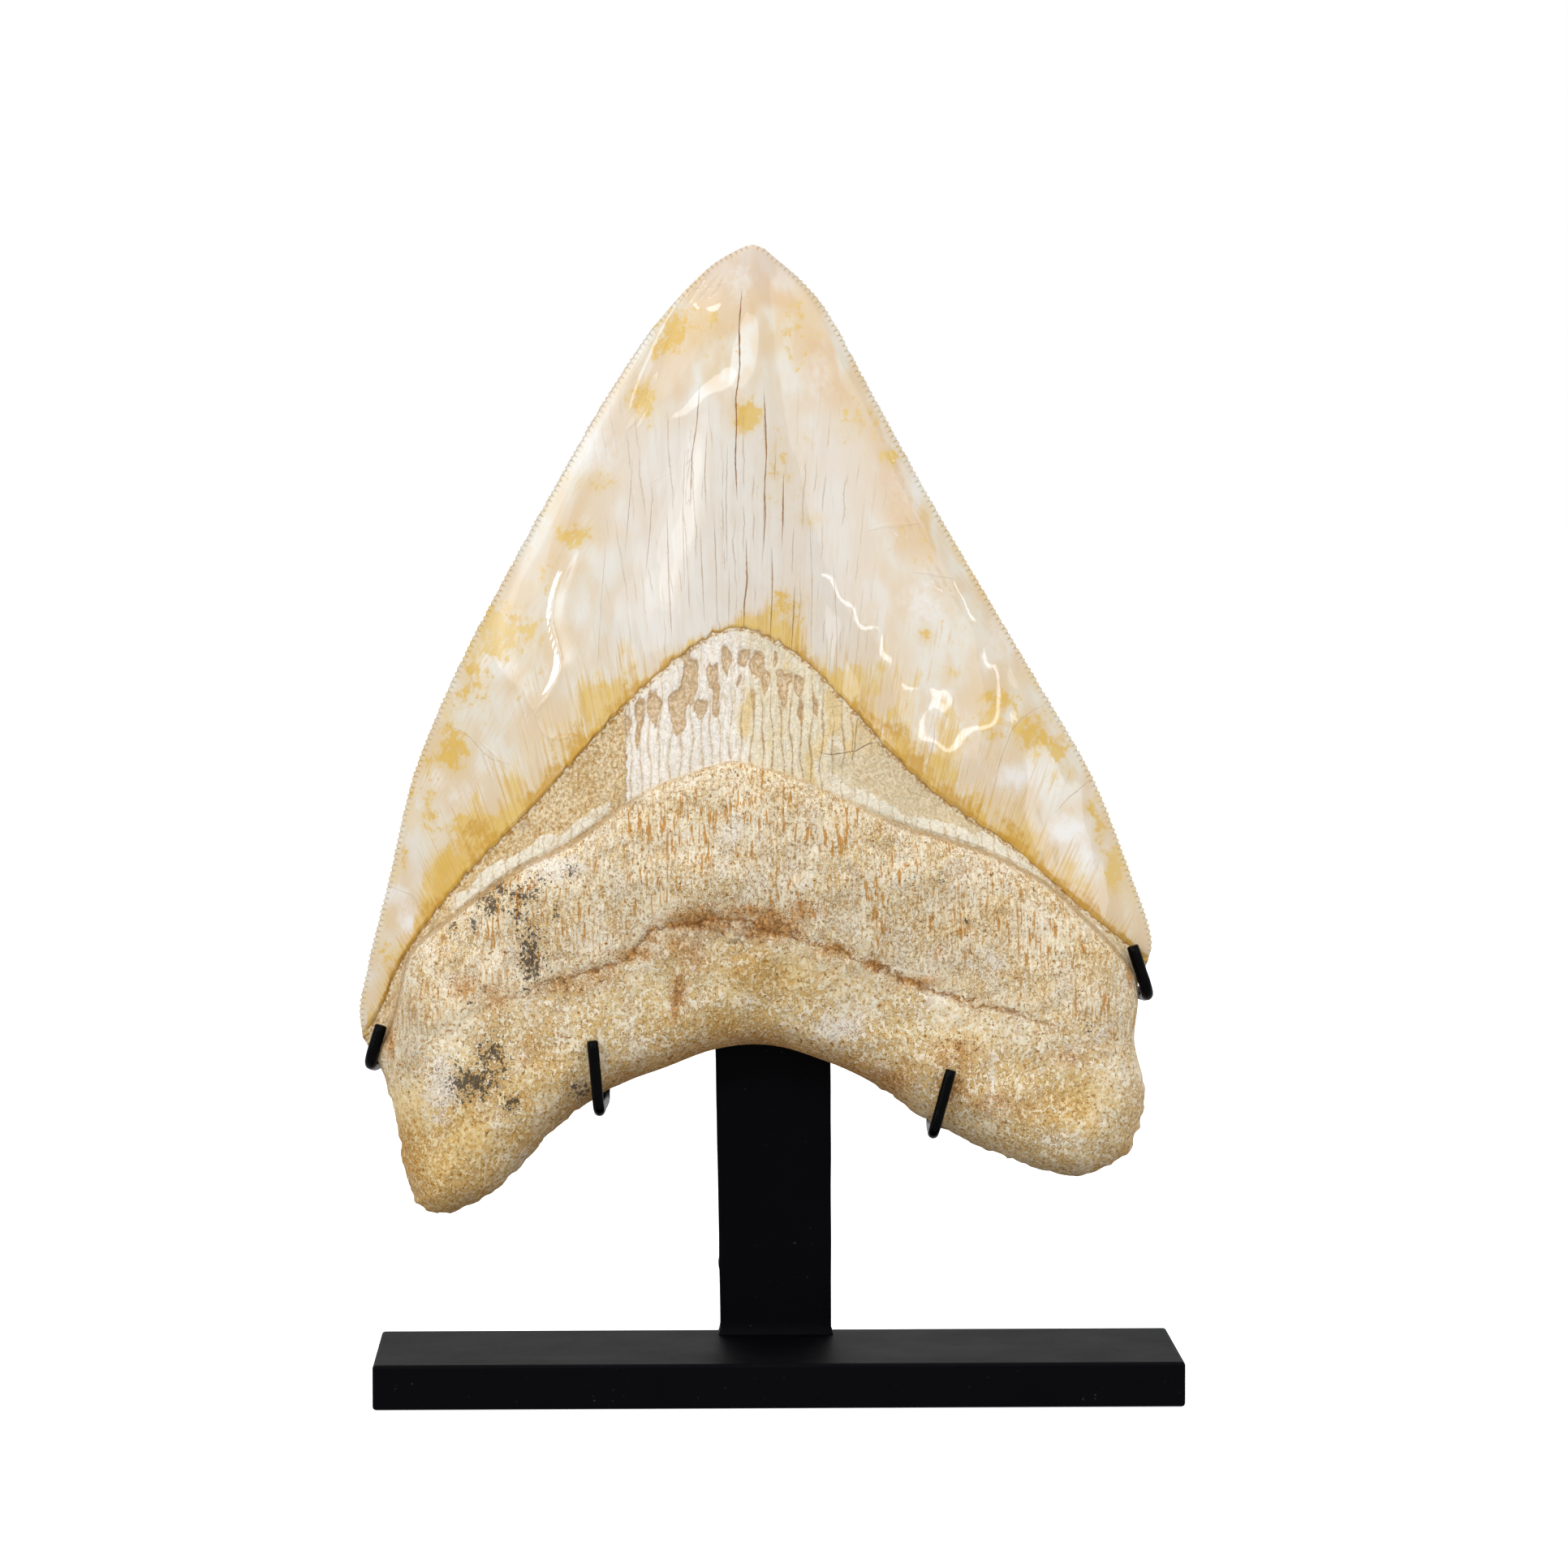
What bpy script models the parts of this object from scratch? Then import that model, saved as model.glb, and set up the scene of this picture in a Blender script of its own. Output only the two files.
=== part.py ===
"""Fossil megalodon tooth resting in a black steel display stand.

The frame: origin at the centre of the base's underside, +Z up, the tooth's convex face looking
along -Y, and +X to the right of a viewer who faces it. Sizes below are in millimetres.
"""

import math

import bmesh
import bpy
import numpy as np
from mathutils import Vector, geometry, noise
from mathutils.bvhtree import BVHTree

MM = 0.001
GAP = 0.3  # between neighbouring solids

# Stand: stock flat bar, 4 1/2 x 1 1/4 x 1/4 inch, under a 5/8 inch strip
BASE_LENGTH = 114.3
BASE_DEPTH = 31.75
BASE_HEIGHT = 6.35
BASE_EDGE = 0.45
POST_FOOT_X = (-7.9, 8.1)
POST_TOP_X = (-9.3, 8.0)
POST_FRONT_Y = 10.5
POST_THICKNESS = 4.76
POST_TOP_Z = 88.0
POST_EDGE = 0.5
EDGE_SEGMENTS = 2
EDGE_ANGLE = 35.0  # edges sharper than this are rounded
WELD_COLLAR = 0.5  # leg of the fillet round the post's foot
ROD_DIAMETER = 1.65
ROD_BEND_RADIUS = 2.3
ROD_BEND_STEPS = 5
ROD_BEVEL_RESOLUTION = 2  # eight sides
BEND_SHARE = 0.48  # the most of a straight run that the bend at its end takes
LEG_PLACES = np.linspace(-0.1, 1.1, 13)  # places along a leg, and just past its ends, kept clear of the tooth
FAR_IN_FRONT = 100.0

# Tooth outline seen from the front: (x, z) points of smooth lines that run upwards, or to the right
CROWN_LEFT = [
    (-59.0, 51.0),
    (-59.3, 54.2),
    (-58.3, 60.0),
    (-54.9, 73.9),
    (-51.6, 87.8),
    (-46.0, 101.6),
    (-38.9, 115.4),
    (-31.2, 129.2),
    (-23.1, 143.0),
    (-13.1, 156.7),
    (-8.0, 161.3),
    (-5.2, 162.8),
]
CROWN_RIGHT = [
    (53.0, 61.4),
    (53.5, 63.6),
    (52.9, 66.7),
    (50.5, 73.6),
    (45.0, 87.6),
    (37.0, 101.5),
    (28.8, 115.3),
    (20.7, 129.1),
    (13.1, 142.9),
    (4.9, 156.7),
    (0.1, 161.3),
    (-1.6, 162.8),
]
TIP = [(-5.2, 162.8), (-3.4, 163.4), (-1.6, 162.8)]
ROOT_ARCH = [
    (-51.5, 27.4),
    (-49.6, 26.2),
    (-47.8, 25.8),
    (-43.7, 27.0),
    (-41.0, 28.3),
    (-36.7, 32.3),
    (-32.1, 37.4),
    (-27.5, 41.1),
    (-22.8, 43.9),
    (-15.5, 46.7),
    (-8.9, 49.1),
    (-4.3, 49.8),
    (0.3, 49.5),
    (5.0, 48.1),
    (11.9, 45.2),
    (21.2, 39.1),
    (30.5, 34.4),
    (39.8, 31.2),
    (42.5, 30.7),
    (45.6, 31.5),
    (49.1, 33.3),
    (50.6, 35.0),
]
LOBE_LEFT = [(-51.5, 27.4), (-53.2, 32.1), (-54.1, 37.9), (-55.0, 42.0)]
LOBE_RIGHT = [(50.6, 35.0), (51.7, 37.6), (52.6, 41.0), (52.3, 45.0)]
FLANK_LEFT = [(-55.0, 42.0), (-56.1, 45.8), (-57.2, 48.0)]
FLANK_RIGHT = [(52.3, 45.0), (51.1, 50.0), (51.6, 55.6), (51.6, 58.6)]
NOTCH_LEFT = [(-57.2, 48.0), (-59.0, 51.0)]
NOTCH_RIGHT = [(51.6, 58.6), (53.0, 61.4)]

# Lines across the front face: the groove of the root, the ledge at its top, the enamel's edge
FRONT_GROOVE = [
    (-55.0, 42.0),
    (-45.0, 53.5),
    (-35.3, 58.5),
    (-23.8, 62.0),
    (-14.8, 68.0),
    (-9.0, 68.6),
    (0.0, 66.6),
    (10.4, 63.1),
    (19.6, 59.3),
    (31.1, 55.7),
    (42.0, 51.5),
    (52.3, 45.0),
]
FRONT_LEDGE = [
    (-57.2, 48.0),
    (-55.0, 52.0),
    (-53.8, 57.0),
    (-52.0, 63.2),
    (-45.5, 68.9),
    (-35.2, 76.1),
    (-29.5, 78.9),
    (-18.1, 87.0),
    (-12.4, 89.3),
    (-6.2, 90.9),
    (-1.1, 89.8),
    (16.0, 82.2),
    (33.3, 75.8),
    (39.1, 72.3),
    (43.7, 68.0),
    (48.4, 63.2),
    (51.6, 58.6),
]
FRONT_ENAMEL = [
    (-59.0, 51.0),
    (-56.6, 54.8),
    (-54.4, 60.1),
    (-46.6, 71.4),
    (-35.3, 83.4),
    (-12.4, 106.6),
    (-8.9, 108.9),
    (-4.9, 109.6),
    (-1.0, 108.2),
    (10.5, 98.2),
    (16.2, 91.7),
    (22.0, 86.3),
    (33.7, 78.0),
    (44.2, 68.7),
    (48.4, 65.4),
    (53.0, 61.4),
]

# Lines across the back face, whose enamel reaches further down
BACK_MIDDLE = [
    (-55.0, 42.0),
    (-45.0, 45.0),
    (-30.0, 51.5),
    (-5.0, 59.0),
    (20.0, 53.5),
    (42.0, 46.5),
    (52.3, 45.0),
]
BACK_NECK = [
    (-57.2, 48.0),
    (-50.0, 51.5),
    (-36.0, 59.0),
    (-20.0, 66.5),
    (-6.0, 69.6),
    (8.0, 68.2),
    (22.0, 64.0),
    (40.0, 59.0),
    (51.6, 58.6),
]
BACK_ENAMEL = [
    (-59.0, 51.0),
    (-50.0, 56.0),
    (-37.0, 63.5),
    (-22.0, 70.5),
    (-6.0, 73.5),
    (9.0, 72.0),
    (24.0, 67.5),
    (40.0, 63.0),
    (53.0, 61.4),
]

# Depths of the two faces, from the plane of the cutting edges
CROWN_FOOT_Z = 51.0
TIP_Z = 163.4
CROWN_FRONT_DEPTH = 12.0
RIDGE_SHARE = 0.7  # of the front's depth: a rounded ridge up the middle; the rest is an even lens
RIDGE_POWER = 1.8
LENS_POWER = 2.2
FRONT_TAPER = (2.2, 0.8)  # powers of the thinning towards the tip
CROWN_BACK_DEPTH = 8.0
BACK_ROUNDING = 0.9
BACK_TAPER = (2.0, 0.85)
EDGE_BOW = 1.2  # the cutting edges lie this far back halfway up
ROOT_FRONT_DEPTH = 8.4
ROOT_BACK_DEPTH = 8.4
ROOT_SWELL = 6.8  # more depth in front at the middle of the root's top
ROOT_SWELL_CENTRE_X = -4.0
ROOT_SWELL_WIDTH = 31.0
ROOT_SWELL_Z = (50.0, 78.0)
ROOT_EDGE_RADIUS = 8.5
ROUNDED_CROWN_Z = (72.0, 74.0)  # the root rounds off towards the left and right cutting edges below these
BACK_HOLLOW = 1.3  # the root's back is hollow between the lobes
BACK_HOLLOW_WIDTH = 22.0
SHOULDER_RADIUS = 7.0  # the root rounds off towards the crown over this distance
LEDGE_OVER_CROWN = 2.5  # the ledge stands this far before the crown's own curve
LEDGE_HEIGHT = 1.3
ENAMEL_THICKNESS = 0.5
STEP_FADE = 3.0  # ledges fade out this near the outline
GROOVE_DEPTH = 1.0
GROOVE_WIDTH = 0.05  # in rows' places
GROOVE_FADE = (20.0, 60.0)  # it fades out over these distances from the middle
FORAMEN = (-7.0, 66.6)
FORAMEN_HALF_SIZE = (9.0, 3.0)
FORAMEN_DEPTH = 1.3
LUMP_HEIGHT = 0.65
LUMP_WIDTH = 10.0
PIT_HEIGHT = 0.4
PIT_WIDTH = 4.5

# Cutting edge
SERRATION_HEIGHT = 0.36
SERRATIONS_PER_ROW = 4
SERRATED_LEFT_Z = (52.5, 153.0)  # the edge is worn smooth above
SERRATED_RIGHT_Z = (62.5, 161.0)
ON_EDGE = 0.01  # nearer than this to a line, a vertex lies on it; also the share of it left out at each end

# Mesh of each face: columns from left to right, and the rows' places in the four bands between its lines
COLUMNS = 30
COLUMN_CROWDING = 0.45  # towards the left and right edges
LOWER_ROOT_ROWS = (0.0, 0.035, 0.11, 0.22, 0.37, 0.54, 0.73, 0.93, 1.0)
UPPER_ROOT_ROWS = (0.0, 0.06, 0.2, 0.36, 0.52, 0.68, 0.83, 0.94, 1.0)
BOURLETTE_ROWS = (0.0, 0.06, 0.35, 0.67, 1.0)
CROWN_ROWS = 35
ENAMEL_LIP = 0.006  # place of the crown's first row, close to its edge
GROOVE_LEVEL, LEDGE_LEVEL, ENAMEL_LEVEL = 1, 2, 3

# Hooks. Each rod starts at a side of the post, at (y, z), and turns at (x, y, z) points behind and beside
# the root. Its front leg stands clear of the tooth's face, from the foot to the tip, both (x, z).
HOOKS = {
    "prong_lower_left": {
        "start": (12.9, 54.0),
        "behind": [(-24.6, 10.2, 52.0), (-24.6, 10.2, 40.8)],
        "foot": (-25.3, 41.3),
        "tip": (-26.2, 51.4),
    },
    "prong_lower_right": {
        "start": (12.9, 52.0),
        "behind": [(22.6, 10.2, 49.0), (22.6, 10.2, 36.9)],
        "foot": (21.9, 38.0),
        "tip": (24.4, 47.1),
    },
    "prong_side_left": {
        "start": (12.9, 62.0),
        "behind": [(-54.6, 10.4, 47.9), (-58.1, 3.0, 46.9)],
        "foot": (-58.3, 47.8),
        "tip": (-56.0, 53.2),
    },
    "prong_side_right": {
        "start": (12.9, 68.0),
        "behind": [(49.4, 10.4, 57.3), (52.8, 4.0, 56.3)],
        "foot": (53.1, 57.0),
        "tip": (50.6, 64.0),
    },
}


def smooth(value):
    """0 up to 0, 1 from 1, and a smooth step between."""
    t = min(max(value, 0.0), 1.0)
    return t * t * (3 - 2 * t)


def rounded(distance, radius):
    """Height of a quarter circle of this radius, over the radius, at a distance from its foot."""
    t = min(max(distance / radius, 0.0), 1.0)
    return math.sqrt(1 - (1 - t) ** 2)


def through(points, steps=12):
    """A smooth line through the points, as an array of closely spaced ones."""
    knots = np.array(points, float)
    spans = np.linalg.norm(np.diff(knots, axis=0), axis=1)[:, None]
    slopes = np.diff(knots, axis=0) / spans
    tangents = np.vstack([slopes[:1], slopes, slopes[-1:]])[: len(knots)]
    if len(knots) > 2:
        middle = (slopes[:-1] * spans[1:] + slopes[1:] * spans[:-1]) / (spans[1:] + spans[:-1])
        tangents = np.vstack([slopes[:1], middle, slopes[-1:]])
    t = np.linspace(0, 1, steps, endpoint=False)[:, None]
    line = []
    for a, b, span, leave, reach in zip(knots, knots[1:], spans, tangents, tangents[1:]):
        line.append(
            a * (1 + 2 * t) * (1 - t) ** 2
            + leave * span * t * (1 - t) ** 2
            + b * t**2 * (3 - 2 * t)
            + reach * span * t**2 * (t - 1)
        )
    return np.vstack(line + [knots[-1:]])


def along(points, fractions):
    """Points at these fractions of the length of a smooth line through the given ones."""
    line = through(points)
    run = np.concatenate([[0], np.cumsum(np.linalg.norm(np.diff(line, axis=0), axis=1))])
    at = np.asarray(fractions) * run[-1]
    return np.stack([np.interp(at, run, line[:, 0]), np.interp(at, run, line[:, 1])], axis=-1)


def distance_to(line, x, z):
    return float(np.hypot(line[:, 0] - x, line[:, 1] - z).min())


LEFT_EDGE = through(CROWN_LEFT)
RIGHT_EDGE = through(CROWN_RIGHT)
ROOT_LINES = (NOTCH_LEFT, FLANK_LEFT, LOBE_LEFT, ROOT_ARCH, LOBE_RIGHT, FLANK_RIGHT, NOTCH_RIGHT)
ROOT_OUTLINE = np.vstack([through(line, 40) for line in ROOT_LINES])
LOW_LEFT_EDGE = LEFT_EDGE[LEFT_EDGE[:, 1] < ROUNDED_CROWN_Z[0]]
LOW_RIGHT_EDGE = RIGHT_EDGE[RIGHT_EDGE[:, 1] < ROUNDED_CROWN_Z[1]]
OUTLINE_BELOW_CROWN = np.vstack([ROOT_OUTLINE, LOW_LEFT_EDGE, LOW_RIGHT_EDGE])
LEDGE_LINE = through(FRONT_LEDGE)
NECK_LINE = through(BACK_NECK)


def across_crown(x, z):
    """Place between the two cutting edges at this height: -1 at the left one, 1 at the right one."""
    left = np.interp(z, LEFT_EDGE[:, 1], LEFT_EDGE[:, 0])
    right = np.interp(z, RIGHT_EDGE[:, 1], RIGHT_EDGE[:, 0])
    return min(abs(2 * x - left - right) / (right - left), 1.0)


def up_crown(z):
    return min(max((z - CROWN_FOOT_Z) / (TIP_Z - CROWN_FOOT_Z), 0.0), 1.0)


def crown_front(x, z):
    """Full in the middle, with shallow valleys before the thin cutting edges."""
    s = across_crown(x, z)
    ridge = math.cos(math.pi * s / 2) ** RIDGE_POWER
    lens = 1 - s**LENS_POWER
    start, fullness = FRONT_TAPER
    full = RIDGE_SHARE * ridge + (1 - RIDGE_SHARE) * lens
    return CROWN_FRONT_DEPTH * full * (1 - up_crown(z) ** start) ** fullness


def crown_back(x, z):
    """Nearly flat, curved a little from edge to edge."""
    s = across_crown(x, z)
    start, fullness = BACK_TAPER
    return CROWN_BACK_DEPTH * (1 - s**2) ** BACK_ROUNDING * (1 - up_crown(z) ** start) ** fullness


def bone(x, z, side):
    """Lumps and coarse pits of the root's surface."""
    lumps = LUMP_HEIGHT * noise.noise(Vector((x / LUMP_WIDTH, side, z / LUMP_WIDTH)))
    pits = PIT_HEIGHT * noise.noise(Vector((x / PIT_WIDTH, 4 + side, z / PIT_WIDTH)))
    return lumps + pits


def front_depth(x, z, level):
    crown = crown_front(x, z)
    if level > ENAMEL_LEVEL:
        return crown
    fade = rounded(distance_to(ROOT_OUTLINE, x, z), STEP_FADE)
    band = crown - ENAMEL_THICKNESS * fade
    ledge = (crown + LEDGE_OVER_CROWN) * fade
    if level > LEDGE_LEVEL:
        foot = ledge - LEDGE_HEIGHT * fade
        return foot + (band - foot) * smooth(level - LEDGE_LEVEL)
    edge = rounded(distance_to(OUTLINE_BELOW_CROWN, x, z), ROOT_EDGE_RADIUS)
    off_centre = abs(x - ROOT_SWELL_CENTRE_X)
    low, high = ROOT_SWELL_Z
    swell = ROOT_SWELL * math.exp(-((off_centre / ROOT_SWELL_WIDTH) ** 2)) * smooth((z - low) / (high - low))
    root = (ROOT_FRONT_DEPTH + swell + bone(x, z, -1)) * edge
    groove = math.exp(-(((level - GROOVE_LEVEL) / GROOVE_WIDTH) ** 2))
    full_to, gone_at = GROOVE_FADE
    root -= GROOVE_DEPTH * groove * smooth((gone_at - off_centre) / (gone_at - full_to))
    u, v = ((at - c) / half for at, c, half in zip((x, z), FORAMEN, FORAMEN_HALF_SIZE))
    root -= FORAMEN_DEPTH * math.exp(-(u**2) - v**2)
    return ledge + (root - ledge) * rounded(distance_to(LEDGE_LINE, x, z), SHOULDER_RADIUS)


def back_depth(x, z, level):
    crown = crown_back(x, z)
    if level > ENAMEL_LEVEL:
        return crown
    fade = rounded(distance_to(ROOT_OUTLINE, x, z), STEP_FADE)
    neck = crown - ENAMEL_THICKNESS * fade
    if level > LEDGE_LEVEL:
        return neck
    edge = rounded(distance_to(OUTLINE_BELOW_CROWN, x, z), ROOT_EDGE_RADIUS)
    hollow = BACK_HOLLOW * math.exp(-(((x - ROOT_SWELL_CENTRE_X) / BACK_HOLLOW_WIDTH) ** 2))
    root = (ROOT_BACK_DEPTH - hollow + bone(x, z, 1)) * edge
    return neck + (root - neck) * rounded(distance_to(NECK_LINE, x, z), SHOULDER_RADIUS)


def band_points(lower, upper, left, right, columns, rows):
    """Points of the patch between four lines that meet at their ends, row by row from the lower line."""
    bottom, top = along(lower, columns), along(upper, columns)
    start, end = along(left, rows), along(right, rows)
    patch = []
    for v, a, b in zip(rows, start, end):
        u = columns[:, None]
        corners = (1 - u) * ((1 - v) * bottom[0] + v * top[0]) + u * ((1 - v) * bottom[-1] + v * top[-1])
        patch.append((1 - v) * bottom + v * top + (1 - u) * a + u * b - corners)
    return patch


def face_rows(groove, ledge, enamel):
    """Every row of one face as (level, points), from the root's lower edge to the tip."""
    even = np.linspace(0, 1, COLUMNS + 1)
    columns = (1 - COLUMN_CROWDING) * even + COLUMN_CROWDING * (1 - np.cos(math.pi * even)) / 2
    crown_rows = np.insert(np.linspace(0, 1, CROWN_ROWS + 1), 1, ENAMEL_LIP)
    bands = (
        (ROOT_ARCH, groove, LOBE_LEFT, LOBE_RIGHT, LOWER_ROOT_ROWS),
        (groove, ledge, FLANK_LEFT, FLANK_RIGHT, UPPER_ROOT_ROWS),
        (ledge, enamel, NOTCH_LEFT, NOTCH_RIGHT, BOURLETTE_ROWS),
        (enamel, TIP, CROWN_LEFT, CROWN_RIGHT, crown_rows),
    )
    rows = []
    for number, (lower, upper, left, right, places) in enumerate(bands):
        patch = band_points(lower, upper, left, right, columns, places)
        kept = slice(1 if number else 0, None)
        rows += [(number + place, points) for place, points in zip(places[kept], patch[kept])]
    return rows


def tooth_face(bm, rows, depth, towards_back):
    """Adds one face of the tooth, as a grid, and returns its vertices row by row."""
    made = bmesh.ops.create_grid(bm, x_segments=COLUMNS, y_segments=len(rows) - 1, size=1)
    grid = [[None] * (COLUMNS + 1) for _ in rows]
    for vert in made["verts"]:
        column = round((vert.co.x + 1) / 2 * COLUMNS)
        row = round((vert.co.y + 1) / 2 * (len(rows) - 1))
        grid[row][column] = vert
    for number, (level, points) in enumerate(rows):
        for column, (x, z) in enumerate(points):
            y = EDGE_BOW * math.sin(math.pi * up_crown(z))
            if 0 < number < len(rows) - 1 and 0 < column < COLUMNS:
                y += depth(x, z, level) * (1 if towards_back else -1)
            grid[number][column].co = Vector((x, y, z)) * MM
    if towards_back:
        bmesh.ops.reverse_faces(bm, faces=list({face for vert in made["verts"] for face in vert.link_faces}))
    return grid


def serrated_edges(bm, edge_verts, low, high, outward):
    """The (edge, foot, run, point's offset) of each stretch of one cutting edge that has serrations."""
    stretches = []
    for lower, upper in zip(edge_verts, edge_verts[1:]):
        if low * MM <= lower.co.z <= high * MM:
            run = upper.co - lower.co
            offset = Vector((run.z, 0, -run.x)).normalized() * outward * SERRATION_HEIGHT * MM
            stretches.append((bm.edges.get((lower, upper)), lower.co.copy(), run, offset))
    return stretches


def serrate(bm, stretches):
    """Cuts small pointed serrations: every second new vertex of a stretch moves outwards. The faces beside
    the stretch are split into fans, so that each point has a wedge's thickness."""
    cuts = 2 * SERRATIONS_PER_ROW - 1
    edges = [stretch[0] for stretch in stretches]
    bmesh.ops.subdivide_edges(bm, edges=edges, cuts=cuts, use_single_edge=True)
    for vert in bm.verts:
        for _, foot, run, offset in stretches:
            part = (vert.co - foot).dot(run) / run.length_squared
            between_ends = ON_EDGE < part < 1 - ON_EDGE
            if between_ends and (vert.co - foot - run * part).length < ON_EDGE * MM:
                if round(part * (cuts + 1)) % 2:
                    vert.co += offset
                break


def build_tooth():
    bm = bmesh.new()
    front_rows = face_rows(FRONT_GROOVE, FRONT_LEDGE, FRONT_ENAMEL)
    front = tooth_face(bm, front_rows, front_depth, False)
    back = tooth_face(bm, face_rows(BACK_MIDDLE, BACK_NECK, BACK_ENAMEL), back_depth, True)
    rim = {}
    for number, (ahead, behind) in enumerate(zip(front, back)):
        whole_row = number in (0, len(front) - 1)
        for column in range(COLUMNS + 1) if whole_row else (0, COLUMNS):
            rim[behind[column]] = ahead[column]
    bmesh.ops.weld_verts(bm, targetmap=rim)
    first = [level > ENAMEL_LEVEL + ENAMEL_LIP / 2 for level, _ in front_rows].index(True)
    stretches = serrated_edges(bm, [row[0] for row in front[first:]], *SERRATED_LEFT_Z, outward=-1)
    stretches += serrated_edges(bm, [row[-1] for row in front[first:]], *SERRATED_RIGHT_Z, outward=1)
    serrate(bm, stretches)
    bmesh.ops.recalc_face_normals(bm, faces=bm.faces)
    surface = BVHTree.FromBMesh(bm)
    return mesh_object("tooth", bm, material("fossil", (0.74, 0.62, 0.42), 0.4, 0.0), 40), surface


def material(name, colour, roughness, metallic):
    made = bpy.data.materials.new(name)
    made.use_nodes = True
    shader = made.node_tree.nodes["Principled BSDF"]
    shader.inputs["Base Color"].default_value = (*colour, 1.0)
    shader.inputs["Roughness"].default_value = roughness
    shader.inputs["Metallic"].default_value = metallic
    made.diffuse_color = (*colour, 1.0)
    return made


def mesh_object(name, bm, finish, sharp_degrees):
    mesh = bpy.data.meshes.new(name)
    bm.to_mesh(mesh)
    bm.free()
    mesh.materials.append(finish)
    mesh.shade_smooth()
    mesh.set_sharp_from_angle(angle=math.radians(sharp_degrees))
    made = bpy.data.objects.new(name, mesh)
    bpy.context.scene.collection.objects.link(made)
    return made


def soften_edges(piece, width):
    bevel = piece.modifiers.new("softened edges", "BEVEL")
    bevel.width = width * MM
    bevel.segments = EDGE_SEGMENTS
    bevel.limit_method = "ANGLE"
    bevel.angle_limit = math.radians(EDGE_ANGLE)


def build_base(paint):
    bm = bmesh.new()
    bmesh.ops.create_cube(bm, size=1)
    bmesh.ops.scale(bm, vec=Vector((BASE_LENGTH, BASE_DEPTH, BASE_HEIGHT)) * MM, verts=bm.verts)
    base = mesh_object("base", bm, paint, 30)
    base.location.z = BASE_HEIGHT / 2 * MM
    soften_edges(base, BASE_EDGE)
    return base


def build_post(paint):
    """A strip that widens a little upwards, with the collar of weld round its foot. Its origin is the
    middle of the foot's front edge."""
    bm = bmesh.new()
    bmesh.ops.create_cube(bm, size=1)
    foot_z = BASE_HEIGHT + GAP
    height = POST_TOP_Z - foot_z
    for vert in bm.verts:
        ends = POST_TOP_X if vert.co.z > 0 else POST_FOOT_X
        vert.co.x = ends[vert.co.x > 0]
        vert.co.y = (vert.co.y + 0.5) * POST_THICKNESS
        vert.co.z = (vert.co.z + 0.5) * height
    bmesh.ops.bisect_plane(
        bm, geom=bm.verts[:] + bm.edges[:] + bm.faces[:], plane_co=(0, 0, WELD_COLLAR), plane_no=(0, 0, 1)
    )
    for vert in bm.verts:
        if vert.co.z < WELD_COLLAR / 2:
            vert.co.x += math.copysign(WELD_COLLAR, vert.co.x)
            if vert.co.y < POST_THICKNESS / 2:
                vert.co.y -= WELD_COLLAR
    bmesh.ops.scale(bm, vec=(MM, MM, MM), verts=bm.verts)
    post = mesh_object("post", bm, paint, 30)
    post.location = Vector((0, POST_FRONT_Y, foot_z)) * MM
    soften_edges(post, POST_EDGE)
    return post


def post_side(side, z):
    """The x of the post's left (-1) or right (1) side at this height."""
    foot_z = BASE_HEIGHT + GAP
    end = side > 0
    return POST_FOOT_X[end] + (POST_TOP_X[end] - POST_FOOT_X[end]) * (z - foot_z) / (POST_TOP_Z - foot_z)


def clear_of_tooth(surface, foot, tip):
    """The y at which a rod's axis, upright from foot to tip, passes GAP in front of the tooth."""
    reach = ROD_DIAMETER / 2 + GAP
    nearest = 0.0
    for step in LEG_PLACES:
        for aside in (-reach, 0, reach):
            x = foot[0] + (tip[0] - foot[0]) * step + aside
            z = foot[1] + (tip[1] - foot[1]) * step
            hit = surface.ray_cast(Vector((x, -FAR_IN_FRONT, z)) * MM, Vector((0, 1, 0)))[0]
            if hit:
                nearest = min(nearest, hit.y / MM)
    return nearest - reach


def bent_rod(corners):
    """The points of a rod along straight runs, with a round bend at each inner corner."""
    points = [corners[0]]
    for before, corner, after in zip(corners, corners[1:], corners[2:]):
        arriving, leaving = (corner - before).normalized(), (after - corner).normalized()
        turn = arriving.angle(leaving)
        cut = ROD_BEND_RADIUS * math.tan(turn / 2)
        cut = min(cut, BEND_SHARE * (corner - before).length, BEND_SHARE * (after - corner).length)
        start, end = corner - arriving * cut, corner + leaving * cut
        handle = 4 / 3 * math.tan(turn / 4) * cut / math.tan(turn / 2)
        points += geometry.interpolate_bezier(
            start, start + arriving * handle, end - leaving * handle, end, ROD_BEND_STEPS
        )
    return points + [corners[-1]]


def build_hook(name, hook, surface, coating):
    leg_y = clear_of_tooth(surface, hook["foot"], hook["tip"])
    side = math.copysign(1, hook["foot"][0])
    start_y, start_z = hook["start"]
    corners = [Vector((post_side(side, start_z) + side * GAP, start_y, start_z))]
    corners += [Vector(point) for point in hook["behind"]]
    for x, z in (hook["foot"], hook["tip"]):
        corners.append(Vector((x, leg_y, z)))
    points = bent_rod(corners)
    curve = bpy.data.curves.new(name, "CURVE")
    curve.dimensions = "3D"
    curve.bevel_depth = ROD_DIAMETER / 2 * MM
    curve.bevel_resolution = ROD_BEVEL_RESOLUTION
    curve.use_fill_caps = True
    spline = curve.splines.new("POLY")
    spline.points.add(len(points) - 1)
    start = points[0]
    for place, point in zip(spline.points, points):
        place.co = (*((point - start) * MM), 1.0)
    spline.use_smooth = True
    curve.materials.append(coating)
    rod = bpy.data.objects.new(name, curve)
    rod.location = start * MM
    bpy.context.scene.collection.objects.link(rod)
    return rod


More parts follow.
